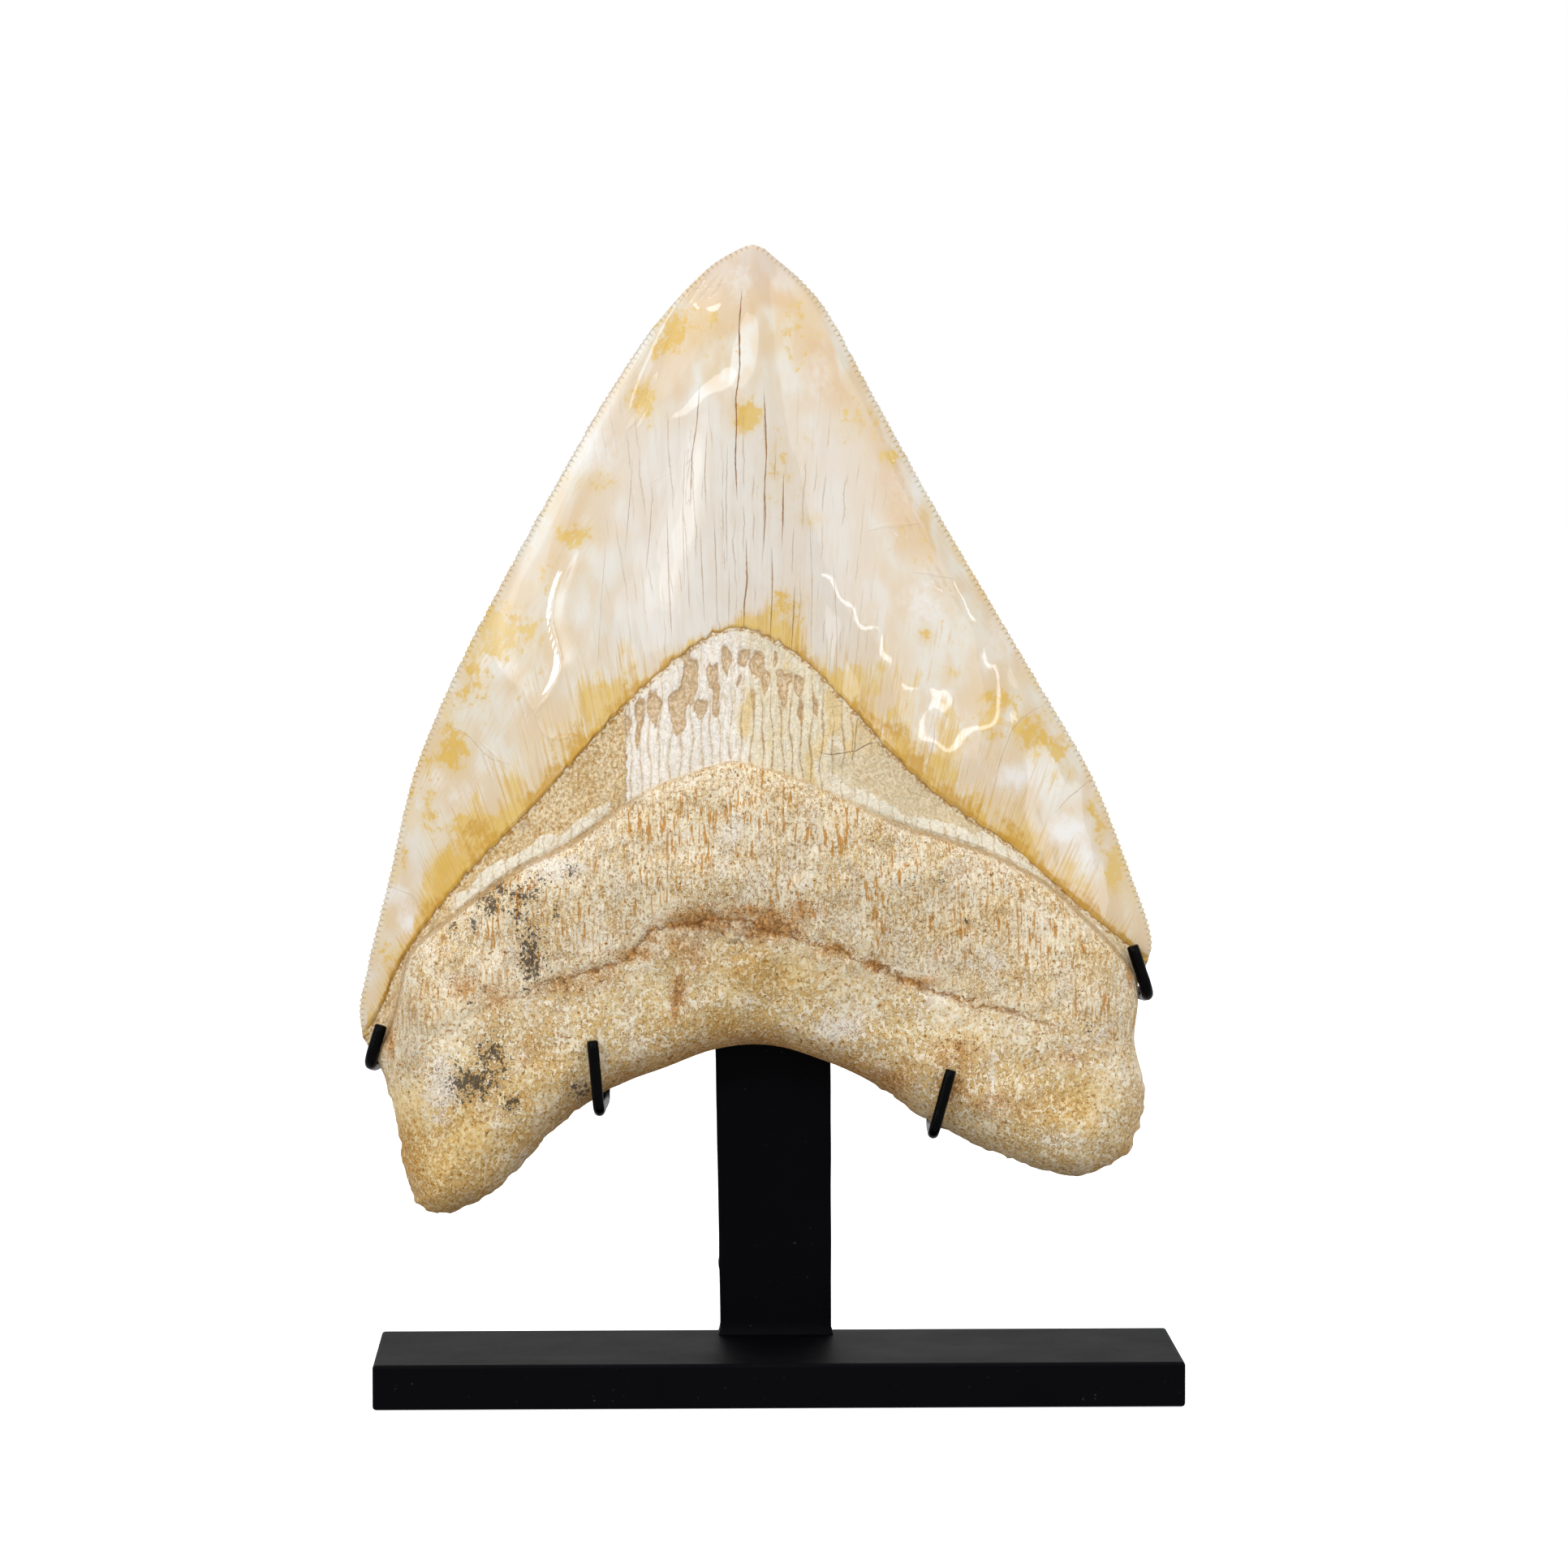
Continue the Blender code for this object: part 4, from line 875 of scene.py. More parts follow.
class Finish:
    """The nodes of one material."""

    def __init__(self, name):
        self.material = bpy.data.materials.new(name)
        self.material.use_nodes = True
        self.nodes = self.material.node_tree.nodes
        self.nodes.clear()
        self.shader = self.node("ShaderNodeBsdfPrincipled")
        self.node("ShaderNodeOutputMaterial", sockets={"Surface": self.shader.outputs["BSDF"]})
        coordinates = self.node("ShaderNodeTexCoord").outputs["Object"]
        self.place = self.vector("MULTIPLY", coordinates, (1 / MM,) * 3)
        parts = self.node("ShaderNodeSeparateXYZ", sockets={0: self.place}).outputs
        self.x, self.y, self.z = (Number(self, part) for part in parts)

    def node(self, kind, settings=None, sockets=None):
        """Adds a node: its settings first, then the values or links of its sockets."""
        node = self.nodes.new(kind)
        for name, value in (settings or {}).items():
            setattr(node, name, value)
        for name, value in (sockets or {}).items():
            self.feed(node.inputs[name], value)
        return node

    def feed(self, socket, value):
        value = getattr(value, "socket", value)
        if isinstance(value, bpy.types.NodeSocket):
            self.material.node_tree.links.new(value, socket)
        elif isinstance(value, tuple) and len(socket.default_value) == 4:
            socket.default_value = (*value[:3], 1.0)
        else:
            socket.default_value = value

    def surface(self, **inputs):
        """Feeds the shader. A name's underscores stand for the spaces of the socket's name."""
        for name, value in inputs.items():
            self.feed(self.shader.inputs[name.replace("_", " ")], value)

    def math(self, operation, *values):
        made = self.node("ShaderNodeMath", {"operation": operation}, dict(enumerate(values)))
        return Number(self, made.outputs[0])

    def sine(self, value):
        return self.math("SINE", value)

    def absolute(self, value):
        return self.math("ABSOLUTE", value)

    def largest(self, *values):
        total = values[0]
        for value in values[1:]:
            total = self.math("MAXIMUM", total, value)
        return total

    def step(self, value, low, high):
        """0 at low and 1 at high, with a smooth step between. Low may be the larger one."""
        made = self.node(
            "ShaderNodeMapRange", {"interpolation_type": "SMOOTHSTEP"}, {"Value": value, 1: low, 2: high}
        )
        return Number(self, made.outputs[0])

    def vector(self, operation, *values):
        return self.node("ShaderNodeVectorMath", {"operation": operation}, dict(enumerate(values))).outputs[0]

    def at(self, x, y, z):
        """A place made of three numbers."""
        return self.node("ShaderNodeCombineXYZ", sockets={0: x, 1: y, 2: z}).outputs[0]

    def noise(self, size, detail=2.0, roughness=0.5, place=None, seed=0.0, bend=0.0):
        """Soft random values around 0.5, whose patches have this (x, y, z) size in mm."""
        size = size if isinstance(size, tuple) else (size,) * 3
        scaled = self.vector("MULTIPLY_ADD", place or self.place, tuple(1 / s for s in size), (seed,) * 3)
        values = {"Vector": scaled, "Scale": 1.0, "Detail": detail, "Roughness": roughness, "Distortion": bend}
        return Number(self, self.node("ShaderNodeTexNoise", sockets=values).outputs[0])

    def mix(self, factor, first, second, blend="MIX"):
        """A colour between two: the first where the factor is 0, the second where it is 1."""
        made = self.node(
            "ShaderNodeMix", {"data_type": "RGBA", "blend_type": blend}, {0: factor, 6: first, 7: second}
        )
        return made.outputs[2]

    def layered(self, base, *layers):
        """A colour with others laid over it in turn, each as (factor, colour) or (factor, colour, blend)."""
        for factor, over, *blend in layers:
            base = self.mix(factor, base, over, *blend)
        return base

    def field(self, name):
        """A number stored on the piece's vertices."""
        made = self.node("ShaderNodeAttribute", {"attribute_name": name})
        return Number(self, made.outputs["Fac"])

    def bump(self, height, strength, reach_mm):
        sockets = {"Strength": strength, "Distance": reach_mm * MM, "Height": height}
        return self.node("ShaderNodeBump", sockets=sockets).outputs[0]


def colour(name, default, description):
    return bpy.props.FloatVectorProperty(
        name=name, description=description, default=default, subtype="COLOR", size=3, min=0.0, max=1.0
    )


def amount(name, default, description, **limits):
    return bpy.props.FloatProperty(name=name, description=description, default=default, **{"min": 0.0, **limits})


def metres(name, default, description, **limits):
    return amount(name, default, description, unit="LENGTH", precision=5, **limits)


class FossilToothSettings(bpy.types.PropertyGroup):
    """Sizes and colours of the tooth."""

    columns: bpy.props.IntProperty(
        name="Columns", description="Columns of vertices across each face of the tooth", default=216, min=40, max=260
    )
    serration_height: metres(
        "Serration height", 0.00034, "How far the serrations stand out of the cutting edges", max=0.001
    )
    serration_pitch: metres(
        "Serration pitch", 0.00081, "Distance from one serration to the next", min=0.0005, max=0.002
    )
    enamel: colour("Enamel", (0.72, 0.66, 0.56), "Cream of the enamel")
    peach: colour("Peach", (0.71, 0.555, 0.37), "Warm clouds in the enamel")
    ochre: colour("Ochre", (0.66, 0.39, 0.045), "Iron stains in the enamel")
    bone: colour("Bone", (0.85, 0.72, 0.49), "Tan of the root")
    cream: colour("Cream layer", (0.90, 0.83, 0.74), "Ribbed layer between enamel and root")


class FossilStandSettings(bpy.types.PropertyGroup):
    """Sizes and colours of the stand."""

    paint: colour("Paint", (0.0010, 0.0010, 0.0015), "Black paint of the base and the post")
    coating: colour("Coating", (0.0010, 0.0010, 0.0012), "Black coating of the rods")
    rod_diameter: metres("Rod diameter", 0.00165, "Thickness of the rods with their coating", min=0.001, max=0.003)
    weld: metres("Weld", 0.0005, "Leg of the weld fillet round the post's foot", max=0.002)


class FossilStudioSettings(bpy.types.PropertyGroup):
    """Floor and light."""

    floor: colour("Floor", (0.90, 0.90, 0.90), "Pale floor")
    glow: amount("Glow", 0.70, "Light that comes through the floor, as on a light table", max=2.0)
    fill: amount("Fill light", 0.77, "Brightness of the light from all round", max=3.0)
    bounce: amount("Bounced light", 0.57, "Brightness of the light from below", max=3.0)
    left_power: amount("Left light", 1.1, "Power of the soft light on the left", unit="POWER")
    right_power: amount("Right light", 1.35, "Power of the soft light on the right", unit="POWER")
    top_power: amount("Top light", 2.6, "Power of the soft light overhead", unit="POWER")
    sparkle: amount("Sparkle", 13.0, "Brightness of the small lights that the enamel mirrors")


def fossil_finish(settings):
    """Glossy stained enamel, the cream layer over the neck, and dull porous bone, on one surface."""
    f = Finish("fossil")
    enamel_mm, ledge_mm, groove_mm, blade_mm = map(f.field, ("enamel_mm", "ledge_mm", "groove_mm", "blade_mm"))
    clouds, wisps, patches, front = map(f.field, ("clouds", "wisps", "patches", "front"))
    stained, rust_and_hook_shadow_field, black = map(f.field, ("ochre", "rust", "manganese"))
    fan = (f.x + 4) / (f.z + 20) * 100
    fanned = f.at(fan, f.y, f.z)
    streaks = f.noise((0.5, 4, 24), 3, 0.6, fanned, seed=2.0)
    mottle = f.noise((1.2, 1.4, 1.5), 4, 0.65, seed=11.0)
    crumbs = f.noise(0.5, 3, 0.7, seed=31.0)
    jag = (f.noise((0.9, 1, 1.1), 3, 0.6, seed=47.0) - 0.5) * 1.6
    fuzz, grit, drift = mottle - 0.5, crumbs - 0.5, streaks - 0.5

    # Enamel: clouds, stains, the fringe above its lower edge, stain and painted shade in the gullets of the serrations,
    # and cracks
    middle = f.step(f.absolute(f.x + 5), 26, 11) * f.step(f.z, 100, 108) * f.step(f.z, 146, 134) * front
    inner = f.step(blade_mm + wisps, 1.5, 3.5) * f.step(blade_mm + clouds * 2, 8.5, 5.0) * f.step(f.z, 112, 124)
    gold = f.layered(
        tuple(settings.ochre),
        (f.step(mottle, 0.38, 0.62), (0.69, 0.43, 0.07)),
        (f.step(patches + wisps, -0.2, 1.4) * 0.45, (0.74, 0.56, 0.21)),
    )
    up_fringe = enamel_mm / (f.field("fringe") * f.largest(1.0 + 0.35 * wisps, 0.35))
    halo = f.step(up_fringe + fuzz * 1.2 + drift * 1.6, 1.2, 0.0)
    band = f.step(up_fringe * 2.0 + fuzz * 2.2 + drift * 2.4 - patches * 0.5, 1.1, 0.0)
    threads = f.noise((0.30, 3, 9), 2, 0.6, fanned, seed=5.0)
    drawn = f.step(threads + fuzz * 0.1, 0.50, 0.60) * f.step(up_fringe + drift * 3.0, 1.6, 0.4)
    deep = f.step(up_fringe * 3.0 + fuzz * 3.0 + drift * 2.0 + patches * 0.4, 0.9, -0.1)
    rim_stain = f.step(wisps + fuzz * 2.0, 0.0, 1.0) * f.step(blade_mm + fuzz * 4, 4.0, 0.3) * f.step(f.z, 134, 122)
    # The gullets between the serrations are darkened grey-brown or ochre: partly stain, partly painted shade in the
    # notches
    serration = f.math("FRACT", f.field("edge_run") / (settings.serration_pitch / MM)) - 0.5
    gullet_stain_and_shade = f.step(f.absolute(serration), 0.27, 0.46) * f.step(blade_mm + fuzz * 0.6, 0.75, 0.20)
    gullet_stain_and_shade_colour = f.mix(f.step(patches + fuzz, -0.3, 0.6), (0.42, 0.36, 0.27), (0.44, 0.27, 0.07))
    hair_at = (fan * 1.4 + fuzz * 0.5 + wisps * 0.12) / HAIR_PITCH + 50
    hair = f.absolute(f.math("FRACT", hair_at) - 0.5) * HAIR_PITCH
    chosen = f.noise((1.0, 1, 7.0), 1, 0.5, f.at(f.math("FLOOR", hair_at) * 3.7, 0.0, f.z), seed=13.0)
    hair_line = f.step(hair, 0.13, 0.03) * f.step(chosen, 0.46, 0.60) * middle
    dark_lines = []
    for kind in ("crack", "split"):
        aside, width, dark = (f.field(kind + ending) for ending in FIELD_ENDINGS)
        off_line = f.absolute(aside + jag * 0.11) - width * (mottle * 1.7 - 0.15)
        dark_lines.append(f.step(off_line, 0.07, -0.04) * dark)
    cracked = f.largest(*dark_lines)
    enamel = f.layered(
        tuple(settings.enamel),
        (f.step(clouds + fuzz, -1.0, 1.0), tuple(settings.peach)),
        (f.step(wisps + fuzz * 1.5, -0.2, 1.8) * 0.75, (0.765, 0.74, 0.68)),
        (f.step(wisps + fuzz * 1.5, -0.2, -1.8) * 0.75, (0.69, 0.53, 0.34)),
        (inner * f.step(f.x + wisps * 2, -12, 4) * 0.35 + inner * 0.5, (0.69, 0.46, 0.24)),
        (f.step(f.z + wisps, 155, 160) * 0.7, (0.64, 0.50, 0.39)),
        (middle * 0.75, (0.72, 0.66, 0.59)),
        (middle * f.step(streaks, 0.46, 0.66) * 0.45, (0.68, 0.57, 0.45)),
        (f.step(f.field("pearl") + fuzz * 0.9, 0.1, 0.9) * 0.9, (0.80, 0.775, 0.74)),
        (f.step(stained + fuzz * 0.9 + wisps * 0.06, 0.05, 0.9) * 0.7, (0.69, 0.49, 0.21)),
        (f.step(stained + fuzz * 2.2 + wisps * 0.1, 0.50, 0.85) * 0.85, gold),
        (halo * 0.65, (0.73, 0.53, 0.22)),
        (band * (0.65 + 0.33 * f.step(mottle, 0.42, 0.6)), gold),
        (drawn * 0.5, (0.60, 0.34, 0.08)),
        (deep * 0.8, (0.57, 0.30, 0.025)),
        (rim_stain * 0.6, (0.70, 0.50, 0.21)),
        (gullet_stain_and_shade * 0.75, gullet_stain_and_shade_colour),
        (hair_line * 0.6, (0.44, 0.31, 0.19)),
        (cracked, (0.28, 0.125, 0.03)),
    )

    # Bone: fibres in its upper part, grit in its lower part, stains, rust in the groove and painted shadows of the side
    # hooks among the rust spots, and brown with painted shade along the lower rim
    upper = f.step(groove_mm, -1.5, 5)
    fibres = f.noise((0.36, 0.8, 2.4), 3, 0.7, seed=29.0)
    rough = f.noise((0.7, 0.8, 0.9), 3, 0.75, seed=51.0)
    grains = fibres * upper + rough * (1 - upper)
    streak = f.noise((0.45, 0.8, 3.6), 2, 0.6, seed=61.0)
    streaked = f.step(streak + grit * 0.3, 0.56, 0.62) * upper * f.step(patches + wisps * 0.8 + fuzz * 2, 1.2, -0.6)
    grey = f.step(f.field("grey") + grit * 0.8, 0.2, 0.8)
    wormed = f.step(f.absolute(rough - 0.5 + fuzz * 0.1), 0.034, 0.008) * f.step(crumbs - patches * 0.05, 0.58, 0.48)
    # Rust spots, with the two painted hook shadows among them, in dark brown and rust
    rust = f.step(rust_and_hook_shadow_field + fuzz * 1.6 + grit * 4.2, 0.42, 0.85) * (0.45 + 0.4 * f.step(rust_and_hook_shadow_field, 0.05, 0.3))
    rust_and_hook_shadow_colour = f.mix(f.step(rough, 0.40, 0.56), (0.17, 0.055, 0.01), (0.60, 0.28, 0.07))
    groove_length = f.step(f.absolute(f.x), 48, 30) * front
    in_groove = f.step(f.absolute(groove_mm + grit * 2.6), 0.60, 0.1) * f.step(mottle, 0.42, 0.52) * groove_length
    fissure = f.step(f.absolute(groove_mm + grit * 1.8 + fuzz), 0.26, 0.08) * groove_length
    seam_colour = f.mix(f.step(rough, 0.44, 0.56), (0.20, 0.07, 0.012), (0.55, 0.25, 0.05))
    manganese = f.step(black + fuzz * 1.2 + grit * 3.6, 0.58, 0.78) * f.step(black, 0.02, 0.14)
    # Brown within about 5 mm of the lower outline, below the groove: partly the bone's colour, partly painted shade
    # where the rim turns downward
    low_rim_colour_and_shade = f.step(f.field("root_rim") + fuzz * 3, 5.0, 0.0) * f.step(groove_mm, 0, -7)
    bone = f.layered(
        tuple(settings.bone),
        (f.step(patches, -1.0, 1.0), (0.81, 0.64, 0.37)),
        (f.step(groove_mm, 1.0, -7.0) * 0.5, (0.97, 0.81, 0.42), "MULTIPLY"),
        (f.step(wisps + fuzz, 0.3, 1.5) * 0.5, (0.86, 0.76, 0.60)),
        (f.step(wisps + fuzz, -0.4, -1.6) * 0.22, (0.68, 0.43, 0.17)),
        (f.step(grains, 0.52, 0.60) * 0.8, (0.95, 0.86, 0.69)),
        (f.step(grains, 0.46, 0.38) * 0.6, (0.66, 0.39, 0.13)),
        (f.step(crumbs, 0.54, 0.62) * 0.75, (0.93, 0.86, 0.71)),
        (f.step(crumbs, 0.42, 0.35) * 0.8, (0.50, 0.23, 0.04)),
        (streaked * 0.9, (0.56, 0.26, 0.045)),
        (f.step(stained + fuzz * 1.2, 0.2, 0.9) * 0.65, (0.88, 0.72, 0.38), "MULTIPLY"),
        (f.step(f.field("pale") + fuzz * 2.0, 0.3, 0.85) * 0.75, (0.92, 0.86, 0.76)),
        (grey * 0.45, (0.50, 0.42, 0.30)),
        (wormed * 0.8, (0.42, 0.18, 0.03)),
        (f.step(rust_and_hook_shadow_field + fuzz * 0.8, 0.05, 0.9) * 0.6, (0.86, 0.60, 0.34), "MULTIPLY"),
        (rust, rust_and_hook_shadow_colour),
        (f.largest(in_groove * 0.7, fissure) * 0.85, seam_colour),
        (manganese * 0.88, (0.055, 0.036, 0.024)),
        (f.step(crumbs + fuzz * 0.6, 0.34, 0.28) * 0.85, (0.26, 0.10, 0.015)),
        (low_rim_colour_and_shade * (0.35 + 0.45 * f.step(f.absolute(f.x + 6), 34, 16)), (0.56, 0.34, 0.11), "MULTIPLY"),
    )

    # Cream layer with its ribs and missing flakes
    past_left, past_right = f.x - CREAM_LEFT_X + jag, CREAM_RIGHT_X - f.x + wisps * 1.5
    cream = f.step(past_left, -0.06, 0.06) * f.step(past_right, -2.0, 4.0) * front
    phase = rib_phase(f.x, f.z, f.sine) + fuzz * 0.25
    between = f.absolute(f.math("FRACT", phase + 50.5) - 0.5) * RIB_PITCH
    rib_line = f.step(between + grit * 0.55, 0.17, 0.04) * f.step(f.z + wisps * 2, 104, 97)
    warm = f.step(f.x + wisps * 2, -8, -1)
    flake_at = f.field("flake_mm") + jag * 0.3
    flake = f.step(flake_at, -0.05, 0.05) * front
    layer = f.layered(
        tuple(settings.cream),
        (warm * 0.85, (0.81, 0.70, 0.47)),
        (f.step(between, 0.6, 0.2) * 0.35, (0.74, 0.60, 0.42)),
        (f.step(fibres, 0.52, 0.64) * 0.5, (0.90, 0.85, 0.77)),
        (f.step(fibres, 0.46, 0.34) * 0.5, (0.66, 0.47, 0.25)),
        (f.step(wisps + fuzz, 0.3, 1.5) * warm * 0.7, (0.78, 0.56, 0.24)),
        (rib_line * (0.45 + 0.35 * warm), (0.46, 0.28, 0.10)),
        (flake * 0.95, f.mix(f.step(crumbs, 0.38, 0.62), (0.56, 0.37, 0.18), (0.75, 0.58, 0.39))),
        (f.step(f.absolute(flake_at), 0.17, 0.04) * front * 0.55, (0.44, 0.24, 0.08)),
    )

    # Neck: brown bone left of the layer, tan right of it, and narrow cream strips along the ledge
    side_tan = f.layered(
        (0.64, 0.49, 0.28),
        (f.step(crumbs, 0.35, 0.65), (0.76, 0.64, 0.44)),
        (f.step(f.z + wisps, 91.5, 93) * f.step(f.x, 15, 9) * 0.8, (0.80, 0.59, 0.33)),
    )
    strip_at = ledge_mm + jag * 0.5
    in_strip = f.step(strip_at, 0.25, 0.42) * f.step(strip_at + wisps * 0.3, 2.15, 1.95) * front
    (left_from, left_to), (right_from, right_to) = STRIP_LEFT_X, STRIP_RIGHT_X
    strip_left = f.step(f.x + jag, left_from - 1, left_from + 1) * f.step(f.x + jag, left_to, left_to - 0.4)
    strip_right = f.step(f.x + jag * 2, right_from, right_from + 6) * f.step(f.x, right_to, right_to - 1)
    tick = f.step(f.absolute(f.math("FRACT", f.x * 0.55 + mottle * 1.2) - 0.5), 0.09, 0.02)
    strip_colour = f.layered(
        (0.88, 0.81, 0.66),
        (tick * 0.6, (0.52, 0.35, 0.16)),
        (f.step(mottle, 0.46, 0.36) * 0.5, (0.62, 0.44, 0.22)),
    )
    under = f.step(f.absolute(ledge_mm + 0.1 + jag * 0.3), 0.42, 0.08) * f.step(crumbs, 0.36, 0.5)
    shadow = (under * (0.3 + 0.45 * f.step(f.absolute(f.x + 3), 14, 22)) * 0.85, (0.38, 0.22, 0.08))
    neck = f.layered(
        (0.48, 0.28, 0.09),
        (f.step(crumbs, 0.38, 0.62), (0.76, 0.59, 0.34)),
        (0.35, bone),
        (f.step(f.x, -14, 4), side_tan),
        (grey * 0.5, (0.47, 0.38, 0.25)),
        (cream, layer),
        (f.step(f.absolute(past_left), 0.2, 0.04) * 0.6 * front, (0.36, 0.22, 0.09)),
        (in_strip * f.largest(strip_left, strip_right) * 0.9, strip_colour),
        shadow,
        (cracked, (0.22, 0.13, 0.06)),
    )

    # Together, with a crust along the enamel's edge
    on_neck = f.step(ledge_mm + jag * 0.3, -0.05, 0.05)
    on_enamel = f.step(enamel_mm + jag * 0.2, -0.04, 0.04)
    crust = f.step(f.absolute(enamel_mm + jag * 0.4 + 0.25), 0.42, 0.22)
    crust_colour = f.mix(f.step(crumbs + streaks * 0.3, 0.56, 0.72), (0.46, 0.22, 0.04), (0.84, 0.72, 0.50))
    edge_line = f.step(f.absolute(enamel_mm + jag * 0.2 + 0.05), 0.17, 0.04)
    ridge_mm, ridge_width, ridge_share = (f.field("ridge" + ending) for ending in FIELD_ENDINGS)
    ridge = f.step(f.absolute(ridge_mm), ridge_width, 0.0) * ridge_share * on_enamel
    dull = 0.9 - on_neck * (0.1 + cream * (1 - flake) * 0.3)
    polished = 0.24 + f.step(wisps, -1, 1) * 0.10
    height = (rough - wormed * 0.2) * (1 - on_enamel) - cracked * 0.06 + ridge * 0.12
    f.surface(
        Base_Color=f.layered(
            bone,
            shadow,
            (on_neck, neck),
            (crust * 0.8, crust_colour),
            (on_enamel, enamel),
            (edge_line * 0.65, (0.44, 0.21, 0.04)),
        ),
        Roughness=dull + on_enamel * (polished - dull) - ridge * 0.16,
        Coat_Weight=on_enamel * (1 - cracked) * 0.6,
        Normal=f.bump(height, 0.8, 0.45),
        IOR=1.5,
        Specular_IOR_Level=0.2,
        Coat_Roughness=0.02,
        Subsurface_Weight=0.1,
        Subsurface_Radius=(1.0, 0.7, 0.45),
        Subsurface_Scale=0.001,
    )
    return f.material


def paint_finish(settings):
    """Satin black paint with a fine grain and a few specks of dust."""
    f = Finish("satin black paint")
    grain_mask = f.noise(0.5, 4, 0.7, seed=2.0)
    clouds = f.noise(14.0, 3, 0.6, seed=4.0)
    dust = f.step(f.noise(0.8, 2, 0.5, seed=6.0), 0.70, 0.78) * f.step(clouds, 0.45, 0.6)
    paint = f.layered(
        tuple(settings.paint), (clouds, (0.0028, 0.0028, 0.0042)), (dust * 0.3, (0.10, 0.10, 0.10))
    )
    rough = 0.36 + clouds * 0.16 + grain_mask * 0.08
    height = grain_mask * 0.5 + f.noise(3.0, 2, 0.5, seed=8.0) * 0.5
    f.surface(Base_Color=paint, Roughness=rough, Normal=f.bump(height, 0.35, 0.08), Specular_IOR_Level=0.035)
    return f.material


def coating_finish(settings):
    """Fairly glossy black coating, a little wrinkled."""
    f = Finish("glossy black coating")
    wrinkles = f.noise((1.4, 1.4, 0.9), 3, 0.6, seed=3.0)
    rough = 0.14 + wrinkles * 0.16
    f.surface(
        Base_Color=tuple(settings.coating), Roughness=rough, Normal=f.bump(wrinkles, 0.5, 0.12), Specular_IOR_Level=0.06
    )
    return f.material


class FOSSIL_OT_tooth(bpy.types.Operator):
    """Models the tooth's two faces as fine grids that meet at its edges, with the serrations, the enamel's
    step, the ribbed layer and the porous root, and gives it its finish"""

    bl_idname = "fossil.tooth"
    bl_label = "Tooth"

    def execute(self, context):
        settings = context.scene.fossil_tooth
        faces = {
            -1: ToothFace(FRONT_GROOVE, FRONT_LEDGE, FRONT_ENAMEL, settings.columns),
            1: ToothFace(BACK_MIDDLE, BACK_NECK, BACK_ENAMEL, settings.columns),
        }
        fields = {side: stored_fields(face, side) for side, face in faces.items()}
        bm = bmesh.new()
        for name in ("rim", *fields[-1]):
            bm.verts.layers.float.new(name)
        grids = {}
        for side, face in faces.items():
            jagged_edge(face)
            depth = front_depth(face) if side < 0 else back_depth(face)
            grids[side] = add_face(bm, face, depth, side, fields[side])
        rim = {}
        front, back = grids[-1], grids[1]
        last = len(front[0]) - 1
        for number, (ahead, behind) in enumerate(zip(front, back)):
            whole_row = number in (0, len(front) - 1)
            for column in range(last + 1) if whole_row else (0, last):
                rim[behind[column]] = ahead[column]
        bmesh.ops.weld_verts(bm, targetmap=rim)
        first = int(np.argmax(faces[-1].level[:, 0] > ENAMEL_LEVEL)) + 1
        edges = [[row[column] for row in front[first:]] for column in (0, last)]
        cut_serrations(bm, edges, settings.serration_height / MM, settings.serration_pitch / MM)
        bmesh.ops.recalc_face_normals(bm, faces=bm.faces)
        bmesh.ops.triangulate(bm, faces=[f for f in bm.faces if len(f.verts) > 4])
        shown_piece("tooth_detailed", bm, fossil_finish(settings), "tooth", 60)
        return {"FINISHED"}


def rounded_bar(bm, size, place, bevel, cuts):
    """Adds a softened box and divides its long sides."""
    made = bmesh.ops.create_cube(bm, size=1)
    bmesh.ops.scale(bm, vec=Vector(size) * MM, verts=made["verts"])
    bmesh.ops.translate(bm, vec=Vector(place) * MM, verts=made["verts"])
    edges = list({edge for vert in made["verts"] for edge in vert.link_edges})
    bmesh.ops.bevel(
        bm, geom=edges, offset=bevel * MM, affect="EDGES", segments=3, profile=0.5, material=-1
    )
    for axis, count in cuts.items():
        long_edges = [
            edge for edge in bm.edges if abs((edge.verts[0].co - edge.verts[1].co)[axis]) > 0.6 * size[axis] * MM
        ]
        bmesh.ops.subdivide_edges(bm, edges=long_edges, cuts=count, use_grid_fill=True)


